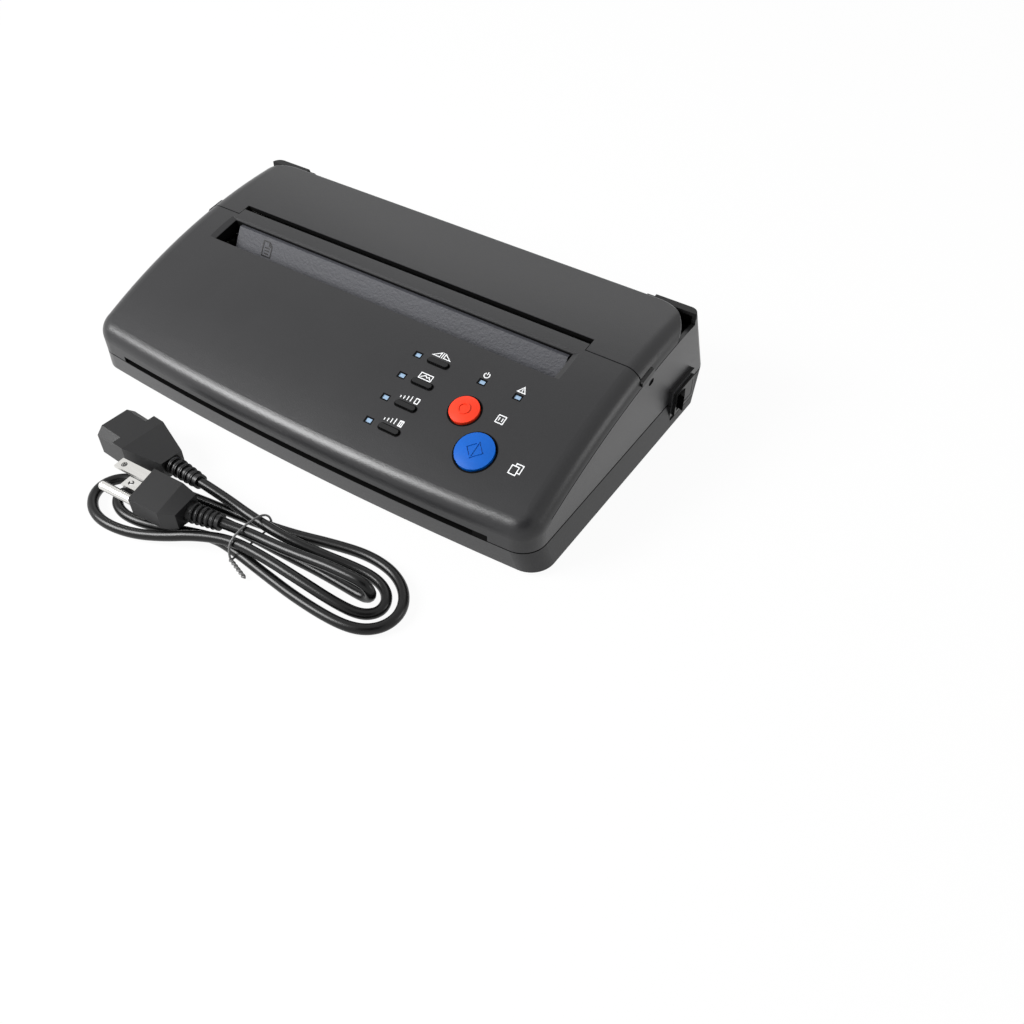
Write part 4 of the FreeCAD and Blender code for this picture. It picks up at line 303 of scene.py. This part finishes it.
def windowFinish():
    # Clear light pipe over a pale chip, with a faint glow
    made = Finish("light window", finishLook["windowPale"], rough=finishLook["windowRough"],
                  Coat_Weight=finishLook["windowCoat"])
    fleck = made.noise(finishLook["windowFleck"])
    made.put("Base Color", made.blendColours(fleck, finishLook["windowDark"], finishLook["windowPale"]))
    made.put("Emission Color", made.blendColours(fleck, finishLook["glowDark"], finishLook["glowPale"]))
    made.put("Emission Strength", finishLook["glow"])
    return made.material


def glassFinish():
    # Clear float glass with a faint smear
    made = Finish("scanner glass", finishLook["glass"], Coat_Weight=1.0)
    smear = made.noise(finishLook["glassSmear"], finishLook["smearDetail"])
    made.put("Roughness", (finishLook["glassRough"] + smear * finishLook["glassSpread"]).clamped())
    made.put("Alpha", finishLook["glassAlpha"])
    return made.material


boardLook = {"base": (0.01, 0.12, 0.05), "mask": (0.008, 0.10, 0.045), "track": (0.02, 0.19, 0.08),
             "rough": 0.35, "lanes": 420.0, "wander": 1.5, "wanderScale": 30.0, "gap": 0.62, "bump": 0.25,
             "depth": 0.00004}


def boardFinish():
    # Solder mask with the ghost of its tracks
    made = Finish("circuit board", boardLook["base"], rough=boardLook["rough"])
    across = made.split()[0]
    wander = made.noise(boardLook["wanderScale"]) * boardLook["wander"]
    lane = made.add("ShaderNodeMath", {"operation": "FRACT"}, [across * boardLook["lanes"] + wander])
    track = lane > boardLook["gap"]
    made.put("Base Color", made.blendColours(track, boardLook["mask"], boardLook["track"]))
    made.put("Normal", made.bump(track, boardLook["bump"], boardLook["depth"]))
    return made.material


redFinish = capFinish("red cap", finishLook["red"])
blueFinish = capFinish("blue cap", finishLook["blue"])
markFinish = mouldedFinish("printed white", finishLook["mark"], 0.45, grain=1500.0, strength=0.05,
                            mottle=0.02)

looks = {
    caseFinish: ["control_panel", "rear_cover", "housing_frame", "bottom_tray"],
    trimFinish: ["paper_chute", "rocker_frame", "power_inlet", "scanner_bar", "release_button_left",
                 "release_button_right", "rocker"],
    wellFinish: ["key_wells", "stop_well", "copy_well", "indicator_rims"],
    guideFinish: ["document_guide"],
    keyFinish: ["key_1", "key_2", "key_3", "key_4"],
    redFinish: ["stop_button"], blueFinish: ["copy_button"], windowFinish(): ["indicator_windows"],
    steelFinish: ["left_side_plate", "right_side_plate", "scan_shaft", "platen_shaft", "scan_spindle",
                  "platen_spindle", "hinge_pins", "case_screws", "scan_motor", "platen_motor"],
    sinkFinish: ["heat_sink"], nickelFinish: ["plug_pins", "inlet_pins", "switch_tabs"],
    whiteFinish: ["scan_bushes", "platen_bushes", "scan_gear", "platen_gear"],
    brassFinish: ["scan_pinion", "platen_pinion"],
    rubberFinish: ["scan_roller", "platen_roller", "rubber_feet"],
    boardFinish(): ["main_board", "power_board", "panel_board"], ceramicFinish: ["print_head"],
    partFinish: ["main_chips", "power_parts", "panel_switches"], filmFinish: ["flat_cable"],
    glassFinish(): ["scanner_glass"], plugFinish: ["appliance_connector", "mains_plug"],
}
for finish, names in looks.items():
    for name in names:
        nodes[name].data.materials.clear()
        nodes[name].data.materials.append(finish)
print("finishes:", len(looks))


# Camera, with the photograph's place and angle

cameraFit = {"place": (0.31516, -0.35455, 0.37558), "azimuth": 33.718, "down": 45.872, "lens": 36.725,
             "sensor": 36.0, "nearest": 0.01}


def makeCamera():
    data = bpy.data.cameras.new("camera")
    data.sensor_width = cameraFit["sensor"]
    data.lens = cameraFit["lens"]
    data.clip_start = cameraFit["nearest"]
    camera = bpy.data.objects.new("camera", data)
    bpy.context.scene.collection.objects.link(camera)
    turn, down = math.radians(cameraFit["azimuth"]), math.radians(cameraFit["down"])
    camera.matrix_world = (Matrix.Translation(cameraFit["place"]) @ Matrix.Rotation(turn, 4, "Z")
                           @ Matrix.Rotation(math.pi / 2 - down, 4, "X"))
    bpy.context.scene.camera = camera


makeCamera()


# Mains lead and its wire tie

leadSizes = {"diameter": 5.4 * mm, "length": 0.9413, "tieDiameter": 1.1 * mm}
leadRoute = [
    (-24.0, -128.2, 9.0), (-6.0, -129.6, 9.3), (14.0, -132.3, 9.7), (36.0, -132.8, 8.5), (56.0, -129.5, 5.6),
    (73.0, -125.8, 3.4), (85.0, -125.2, 2.9), (94.3, -128.4, 2.9), (99.4, -134.6, 2.9), (99.2, -141.4, 2.9),
    (93.2, -146.6, 3.4), (81.0, -148.8, 5.8), (60.0, -149.0, 8.6), (38.0, -148.2, 9.5), (18.0, -149.0, 10.0),
    (0.0, -155.2, 8.4), (-16.0, -162.8, 4.8), (-31.0, -168.6, 2.9), (-45.5, -171.4, 2.9),
    (-57.5, -169.8, 2.9), (-66.6, -163.4, 2.9), (-70.2, -154.4, 2.9), (-67.0, -146.0, 2.9),
    (-58.6, -140.9, 2.9), (-42.0, -137.0, 2.9), (-19.0, -133.6, 2.9), (2.0, -131.3, 3.1), (20.0, -129.2, 3.9),
    (36.0, -125.5, 3.2), (54.0, -120.0, 2.9), (72.0, -116.0, 2.9), (87.0, -116.8, 2.9), (98.4, -121.6, 2.9),
    (105.8, -129.4, 2.9), (108.4, -138.6, 2.9), (105.6, -147.4, 2.9), (97.8, -153.4, 2.9),
    (85.0, -155.6, 2.9), (62.0, -154.8, 2.9), (40.0, -152.2, 3.2), (22.0, -150.0, 3.9), (5.0, -148.4, 3.2),
    (-11.0, -153.4, 2.9), (-25.0, -158.8, 2.9), (-37.0, -161.8, 2.9), (-47.0, -161.6, 2.9),
    (-54.2, -158.2, 2.9), (-57.4, -153.2, 2.9), (-54.8, -148.2, 2.9), (-47.0, -145.4, 2.9),
    (-31.0, -142.4, 2.9), (-10.0, -139.4, 3.1), (8.0, -138.5, 3.5), (24.0, -138.2, 3.9), (42.0, -137.4, 3.2),
    (58.0, -136.6, 2.9), (72.0, -136.7, 2.9), (82.0, -137.0, 2.9), (88.6, -137.1, 3.2), (92.0, -137.2, 5.6),
    (93.2, -137.4, 9.2), (91.8, -137.6, 12.8), (88.4, -137.9, 15.0), (81.4, -138.4, 15.4),
    (69.0, -139.0, 14.9), (50.0, -140.4, 12.6), (36.0, -141.2, 11.7), (22.0, -142.0, 11.6),
    (8.0, -145.0, 12.7),
]
tieLoop = [
    (20.4, -153.8, 9.2), (20.6, -151.8, 13.4), (20.8, -145.8, 15.4), (20.8, -138.4, 15.2),
    (20.6, -131.0, 13.2), (20.4, -126.8, 9.4), (20.2, -125.4, 4.6), (20.1, -126.0, 1.1),
    (19.9, -130.2, 0.6), (19.7, -139.4, 0.62), (19.5, -148.4, 0.6), (19.7, -152.6, 1.0),
]
tieSizes = {"from": (20.6, -154.7, 3.6), "to": (33.0, -158.4, 1.5), "spread": 0.58, "turns": 3.0, "steps": 28}


def twistedTail(half):
    # One of the two tails, which wind round each other from the loop to their ends
    first, last = Vector(tieSizes["from"]), Vector(tieSizes["to"])
    along = (last - first).normalized()
    side = along.cross(Vector((0, 0, 1))).normalized()
    over = side.cross(along)
    points = []
    for step in range(tieSizes["steps"] + 1):
        share = step / tieSizes["steps"]
        turn = math.pi / 2 + half * math.pi + share * tieSizes["turns"] * 2 * math.pi
        out = side * math.cos(turn) + over * math.sin(turn)
        points.append(tuple(first.lerp(last, share) + out * tieSizes["spread"]))
    return points


tieRoute = twistedTail(0)[::-1] + tieLoop + twistedTail(1)


def tubeAlong(name, route, diameter, finish, sides=5, steps=10):
    # Smooth curve that has the route's points as its control points
    data = bpy.data.curves.new(name, "CURVE")
    data.dimensions = "3D"
    spline = data.splines.new("NURBS")
    spline.points.add(len(route) - 1)
    for point, place in zip(spline.points, route):
        point.co = (*(value * mm for value in place), 1.0)
    spline.order_u = 3
    spline.use_endpoint_u = True
    data.resolution_u = steps
    data.bevel_depth = diameter / 2
    data.bevel_resolution = sides
    data.use_fill_caps = True
    data.materials.append(finish)
    made = bpy.data.objects.new(name, data)
    bpy.context.scene.collection.objects.link(made)
    return made


lead = tubeAlong("lead_jacket", leadRoute, leadSizes["diameter"], leadFinish)
tie = tubeAlong("lead_tie", tieRoute, leadSizes["tieDiameter"], tieFinish, sides=3, steps=5)
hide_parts("mains_cord")
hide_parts("cord_tie")
for piece in (lead, tie):
    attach(piece, "base")
print("lead: done")


# Raised ribs round the two strain reliefs, one ring on each band between the grooves

ribSizes = {"count": 5, "first": 1.15, "bead": 0.55, "sunk": 0.25, "hoopSteps": 40, "beadSteps": 10}


def ribTree(finish):
    tree = bpy.data.node_groups.new("strain relief ribs", "GeometryNodeTree")
    tree.interface.new_socket("Geometry", in_out="OUTPUT", socket_type="NodeSocketGeometry")
    places = {}
    for label, kind in (("Count", "NodeSocketInt"), ("First Middle", "NodeSocketVector"),
                        ("Step", "NodeSocketVector"), ("Radius", "NodeSocketFloat"),
                        ("Last Share", "NodeSocketFloat"), ("Rib Radius", "NodeSocketFloat")):
        places[label] = tree.interface.new_socket(label, in_out="INPUT", socket_type=kind).identifier

    def add(kind, links, **settings):
        node = tree.nodes.new(kind)
        for label, value in settings.items():
            setattr(node, label, value)
        for label, value in links.items():
            if isinstance(value, bpy.types.NodeSocket):
                tree.links.new(value, node.inputs[label])
            else:
                node.inputs[label].default_value = value
        return node.outputs

    given = add("NodeGroupInput", {})
    line = add("GeometryNodeMeshLine", {"Count": given["Count"], "Start Location": given["First Middle"],
                                        "Offset": given["Step"]}, mode="OFFSET")
    hoop = add("GeometryNodeCurvePrimitiveCircle", {"Resolution": ribSizes["hoopSteps"],
                                                    "Radius": given["Radius"]})
    bead = add("GeometryNodeCurvePrimitiveCircle", {"Resolution": ribSizes["beadSteps"],
                                                    "Radius": given["Rib Radius"]})
    ring = add("GeometryNodeCurveToMesh", {"Curve": hoop["Curve"], "Profile Curve": bead["Curve"]})
    facing = add("FunctionNodeAlignRotationToVector", {"Vector": given["Step"]}, axis="Z")
    last = add("ShaderNodeMath", {0: given["Count"], 1: 1.0}, operation="SUBTRACT")
    index = add("GeometryNodeInputIndex", {})
    share = add("ShaderNodeMapRange", {"Value": index["Index"], "From Max": last[0], "To Min": 1.0,
                                       "To Max": given["Last Share"]})
    rings = add("GeometryNodeInstanceOnPoints", {"Points": line["Mesh"], "Instance": ring["Mesh"],
                                                 "Rotation": facing["Rotation"], "Scale": share[0]})
    real = add("GeometryNodeRealizeInstances", {"Geometry": rings["Instances"]})
    dressed = add("GeometryNodeSetMaterial", {"Geometry": real["Geometry"], "Material": finish})
    add("NodeGroupOutput", {"Geometry": dressed["Geometry"]})
    return tree, places


def treeMesh(name, tree, places, values, body):
    # The tree's result as a plain mesh that rides on a body
    made = bpy.data.objects.new(name, bpy.data.meshes.new(name))
    bpy.context.scene.collection.objects.link(made)
    modifier = made.modifiers.new("build", "NODES")
    modifier.node_group = tree
    for label, value in values.items():
        modifier[places[label]] = value
    bpy.context.view_layer.update()
    ready = made.evaluated_get(bpy.context.evaluated_depsgraph_get())
    result = bpy.data.meshes.new_from_object(ready)
    made.modifiers.clear()
    made.data = result
    for face in result.polygons:
        face.use_smooth = True
    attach(made, body)


reliefs = {  # where each strain relief starts, the way it runs, its length and its radii in millimetres
    "socket_ribs": {"start": leadRoute[0], "before": leadRoute[1], "long": 23.0, "tip": 3.9, "wide": 5.0},
    "plug_ribs": {"start": leadRoute[-1], "before": leadRoute[-2], "long": 17.0, "tip": 4.2, "wide": 5.2},
}
ribs, ribPlaces = ribTree(plugFinish)
for name, relief in reliefs.items():
    start = Vector(relief["start"])
    along = (start - Vector(relief["before"])).normalized()
    pitch = relief["long"] / (ribSizes["count"] + 1)
    widens = (relief["wide"] - relief["tip"]) / relief["long"]
    radii = [relief["tip"] + widens * (ribSizes["first"] + step) * pitch - ribSizes["sunk"]
             for step in (0, ribSizes["count"] - 1)]
    treeMesh(name, ribs, ribPlaces, {
        "Count": ribSizes["count"], "First Middle": (start + along * pitch * ribSizes["first"]) * mm,
        "Step": along * pitch * mm, "Radius": radii[0] * mm, "Last Share": radii[1] / radii[0],
        "Rib Radius": ribSizes["bead"] * mm}, "base")
print("strain relief ribs:", len(reliefs))


# Printed signs on the crowned panel, in the places of its labels

signSizes = {"width": 0.55, "lift": 0.01, "thick": 0.05, "mitre": 0.4}


def onCrown(x, y, lift=0.0):
    # Point over the panel's skin, and how far out of it
    radius = crown["radius"] + lift
    turn = math.asin((y - crown["back"]) / crown["radius"])
    return Vector((x, crown["back"] + radius * math.sin(turn),
                   crown["top"] - crown["radius"] + radius * math.cos(turn))) * mm


def ribbon(stroke, width):
    # Left and right edges of a flat stroke with mitred corners
    closed = stroke[0] == stroke[-1]
    points = [Vector(point) for point in (stroke[:-1] if closed else stroke)]
    edges = []
    for index, point in enumerate(points):
        before = points[index - 1] if index or closed else None
        after = points[(index + 1) % len(points)] if index + 1 < len(points) or closed else None
        runs = [(point - before).normalized()] if before is not None else []
        runs += [(after - point).normalized()] if after is not None else []
        sides = [Vector((-run.y, run.x)) for run in runs]
        middle = sum(sides, Vector((0, 0))).normalized()
        out = middle * (width / 2 / max(middle.dot(sides[0]), signSizes["mitre"]))
        edges.append((point + out, point - out))
    return edges, closed


guidePlate = {"foot": (-13.0, 24.6), "top": (7.3, 56.6)}  # y and z of the guide's sloping face


def onGuide(x, reach, lift=0.0):
    # Point over the sloping guide; its reach runs up the slope, from 0 at the upper edge
    foot, top = (Vector((0.0, *guidePlate[end])) for end in ("foot", "top"))
    up = (top - foot).normalized()
    out = Vector((0.0, -up.z, up.y))
    return (top + up * reach + out * lift + Vector((x, 0.0, 0.0))) * mm


def printedSign(name, strokes, centre, onto=onCrown, finish=markFinish,
                width=signSizes["width"], thick=signSizes["thick"]):
    # Strokes around a centre, in millimetres, as one thin printed skin
    shape = bmesh.new()
    for stroke in strokes:
        edges, closed = ribbon(stroke, width)
        rows = []
        for pair in edges:
            row = []
            for flat in pair:
                x, y = centre[0] + flat.x, centre[1] + flat.y
                row += [shape.verts.new(onto(x, y, lift)) for lift in (signSizes["lift"], thick)]
            rows.append(row)
        last = len(rows) if closed else len(rows) - 1
        for index in range(last):
            low, high = rows[index], rows[(index + 1) % len(rows)]
            for first, second in ((0, 1), (1, 3), (3, 2), (2, 0)):
                shape.faces.new((low[first], low[second], high[second], high[first]))
        if not closed:
            shape.faces.new([rows[0][place] for place in (0, 2, 3, 1)])
            shape.faces.new([rows[-1][place] for place in (0, 1, 3, 2)])
    bmesh.ops.recalc_face_normals(shape, faces=shape.faces)
    finished(name, shape, finish, "base")


def finished(name, shape, finish, body):
    data = bpy.data.meshes.new(name)
    shape.to_mesh(data)
    shape.free()
    data.materials.append(finish)
    made = bpy.data.objects.new(name, data)
    bpy.context.scene.collection.objects.link(made)
    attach(made, body)


def arc(radius, steps, start, sweep):
    turns = [math.radians(start + sweep * step / steps) for step in range(steps + 1)]
    return [(radius * math.cos(turn), radius * math.sin(turn)) for turn in turns]


def box(left, low, right, high):
    return [(left, low), (right, low), (right, high), (left, high), (left, low)]


def bars():
    # Four bars that rise from left to right
    return [[(x, -1.5), (x, top)] for x, top in ((-5.0, -0.3), (-3.0, 0.3), (-1.0, 0.9), (1.0, 1.5))]


signs = {
    "mirror_sign": ((51.6, -22.2), [[(-5.2, -1.4), (-1.2, -1.4), (-1.2, 1.4), (-5.2, -1.4)],
                                    [(5.2, -1.4), (1.2, -1.4), (1.2, 1.4), (5.2, -1.4)],
                                    [(0.0, -1.8), (0.0, 1.8)]]),
    "picture_sign": ((51.6, -36.8), [box(-3.6, -1.6, 3.6, 1.6),
                                     [(-2.8, -0.9), (-0.6, 0.7), (0.8, -0.3), (1.7, 0.4), (2.9, -0.9)]]),
    "light_copy_sign": ((51.6, -50.4), [*bars(), box(3.4, -1.4, 5.4, 1.4)]),
    "dark_copy_sign": ((51.6, -63.9), [*bars(), box(3.4, -1.4, 5.4, 1.4), [(4.4, -1.2), (4.4, 1.2)]]),
    "mains_sign": ((78.9, -22.8), [arc(1.5, 16, 125.0, 290.0), [(0.0, 0.2), (0.0, 2.0)]]),
    "fault_sign": ((100.0, -22.6), [[(-2.1, -1.5), (2.1, -1.5), (0.0, 1.9), (-2.1, -1.5)],
                                    [(0.0, -0.9), (0.0, 0.6)]]),
    "halt_sign": ((99.8, -41.5), [box(-2.1, -2.1, 2.1, 2.1), [(-0.9, -1.0), (-0.9, 1.0)],
                                  [(0.9, -1.0), (0.9, 1.0)]]),
    "sheets_sign": ((121.1, -60.9), [box(-2.6, -2.6, 1.2, 1.6),
                                     [(-0.9, 1.6), (-0.9, 3.0), (2.9, 3.0), (2.9, -1.2), (1.2, -1.2)]]),
}
for name, (centre, strokes) in signs.items():
    printedSign(name, strokes, centre)
printedSign("page_sign", [
    [(-3.2, -4.2), (3.2, -4.2), (3.2, 2.0), (1.2, 4.2), (-3.2, 4.2), (-3.2, -4.2)],
    [(1.2, 4.2), (1.2, 2.0), (3.2, 2.0)], [(-1.7, -2.6), (1.7, -2.6)], [(-1.7, -1.0), (1.7, -1.0)],
    [(-1.7, 0.6), (1.7, 0.6)]], (-92.5, -6.6), onGuide, trimFinish, width=0.7, thick=0.12)
print("signs:", len(signs) + 1)


# Painted highlight: a light grey tube along the back of the cover and round its two corners, standing in for
# the edge's highlight

coverEdge = {"half": 146.3, "back": 68.5, "round": 21.0, "inset": 0.25, "radius": 0.3, "lift": 0.04,
             "end": 52.0, "steps": 14, "straightSteps": 20, "above": 100.0}
# Light grey finish of the painted edge highlight, much paler than the case
edgeHighlightFinish = mouldedFinish("painted edge highlight", (0.16, 0.16, 0.165), 0.35, grain=2600.0, strength=0.3)


def coverEdgePlan():
    # Plan points from the right side round both rear corners to the left side
    half, back = coverEdge["half"] - coverEdge["inset"], coverEdge["back"] - coverEdge["inset"]
    turn = coverEdge["round"] - coverEdge["inset"]
    right = []
    for step in range(coverEdge["steps"] + 1):
        angle = math.pi / 2 * step / coverEdge["steps"]
        point = (half - turn + turn * math.cos(angle), back - turn + turn * math.sin(angle))
        if point[1] > coverEdge["end"]:
            right.append(point)
    count = coverEdge["straightSteps"]
    straight = [(right[-1][0] * (1 - step / count), back) for step in range(1, 2 * count)]
    return right + straight + [(-x, y) for x, y in reversed(right)]


def makeCoverEdge():
    cover = nodes["rear_cover"]
    points = []
    for x, y in coverEdgePlan():
        top = Vector((x, y, coverEdge["above"])) * mm
        hit, place, _, _ = cover.ray_cast(top, Vector((0.0, 0.0, -1.0)))
        if hit:
            points.append((x, y, place.z / mm - coverEdge["radius"] + coverEdge["lift"]))
    made = tubeAlong("cover_edge_highlight", points, 2 * coverEdge["radius"] * mm, edgeHighlightFinish, sides=2, steps=2)
    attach(made, "cover")


makeCoverEdge()
print("cover edge: done")


# Floor, light and background

lampTable = {
    "front": {"towards": (-0.53, -0.59, 0.61), "away": 1.3, "size": (0.6, 0.55), "power": 23.0},
    "right": {"towards": (0.85, 0.42, 0.25), "away": 1.3, "size": (0.5, 0.35), "power": 2.0},
    "back": {"towards": (-0.30, 0.68, 0.67), "away": 1.5, "size": (1.1, 0.45), "power": 1.4},
}
stageLook = {"worldLight": 0.45, "worldShown": 0.9, "floor": 0.92, "floorShown": 0.95, "floorRough": 0.9,
             "floorSize": 6.0, "floorHeight": -0.0002, "flagTowards": (0.3865, -0.5792, 0.7178),
             "flagAway": 1.5, "flagSize": 0.6, "flag": (0.01, 0.01, 0.01)}


def makeLamps():
    for name, lamp in lampTable.items():
        data = bpy.data.lights.new(name, "AREA")
        data.shape = "RECTANGLE"
        data.size, data.size_y = lamp["size"]
        data.energy = lamp["power"]
        made = bpy.data.objects.new(name, data)
        bpy.context.scene.collection.objects.link(made)
        towards = Vector(lamp["towards"]).normalized()
        made.location = towards * lamp["away"]
        made.rotation_mode = "QUATERNION"
        made.rotation_quaternion = towards.to_track_quat("Z", "Y")


def makeWorld():
    world = bpy.data.worlds.new("studio")
    world.use_nodes = True
    bpy.context.scene.world = world
    sky = Nodes(world.node_tree)
    back = world.node_tree.nodes["Background"]
    sky.feed(back, "Color", (1.0, 1.0, 1.0, 1.0))
    sky.feed(back, "Strength", sky.add("ShaderNodeMapRange", {}, {
        "Value": sky.shownRays(), "To Min": stageLook["worldLight"], "To Max": stageLook["worldShown"]}))


def paperFinish():
    # White to the camera and in reflections, and lit like paper for everything else
    made = Finish("white paper floor", (stageLook["floor"],) * 3, rough=stageLook["floorRough"])
    glow = made.add("ShaderNodeEmission", {}, {"Strength": 1.0})
    made.overlay(made.shownRays() * stageLook["floorShown"], glow)
    return made.material


def makeSheet(name, size, finish, turn=Matrix()):
    shape = bmesh.new()
    bmesh.ops.create_grid(shape, x_segments=1, y_segments=1, size=size)
    shape.transform(turn)
    data = bpy.data.meshes.new(name)
    shape.to_mesh(data)
    shape.free()
    data.materials.append(finish)
    made = bpy.data.objects.new(name, data)
    bpy.context.scene.collection.objects.link(made)
    return made


def makeStage():
    bpy.context.scene.view_settings.view_transform = "Standard"
    makeWorld()
    floor = makeSheet("floor", stageLook["floorSize"], paperFinish())
    floor.location.z = stageLook["floorHeight"]
    towards = Vector(stageLook["flagTowards"])
    turn = towards.to_track_quat("Z", "Y").to_matrix().to_4x4()
    cloth = Finish("black cloth", stageLook["flag"], rough=1.0).material
    flag = makeSheet("flag", stageLook["flagSize"], cloth,
                     Matrix.Translation(towards * stageLook["flagAway"]) @ turn)
    flag.visible_camera = False


makeLamps()
makeStage()
print("stage: done")
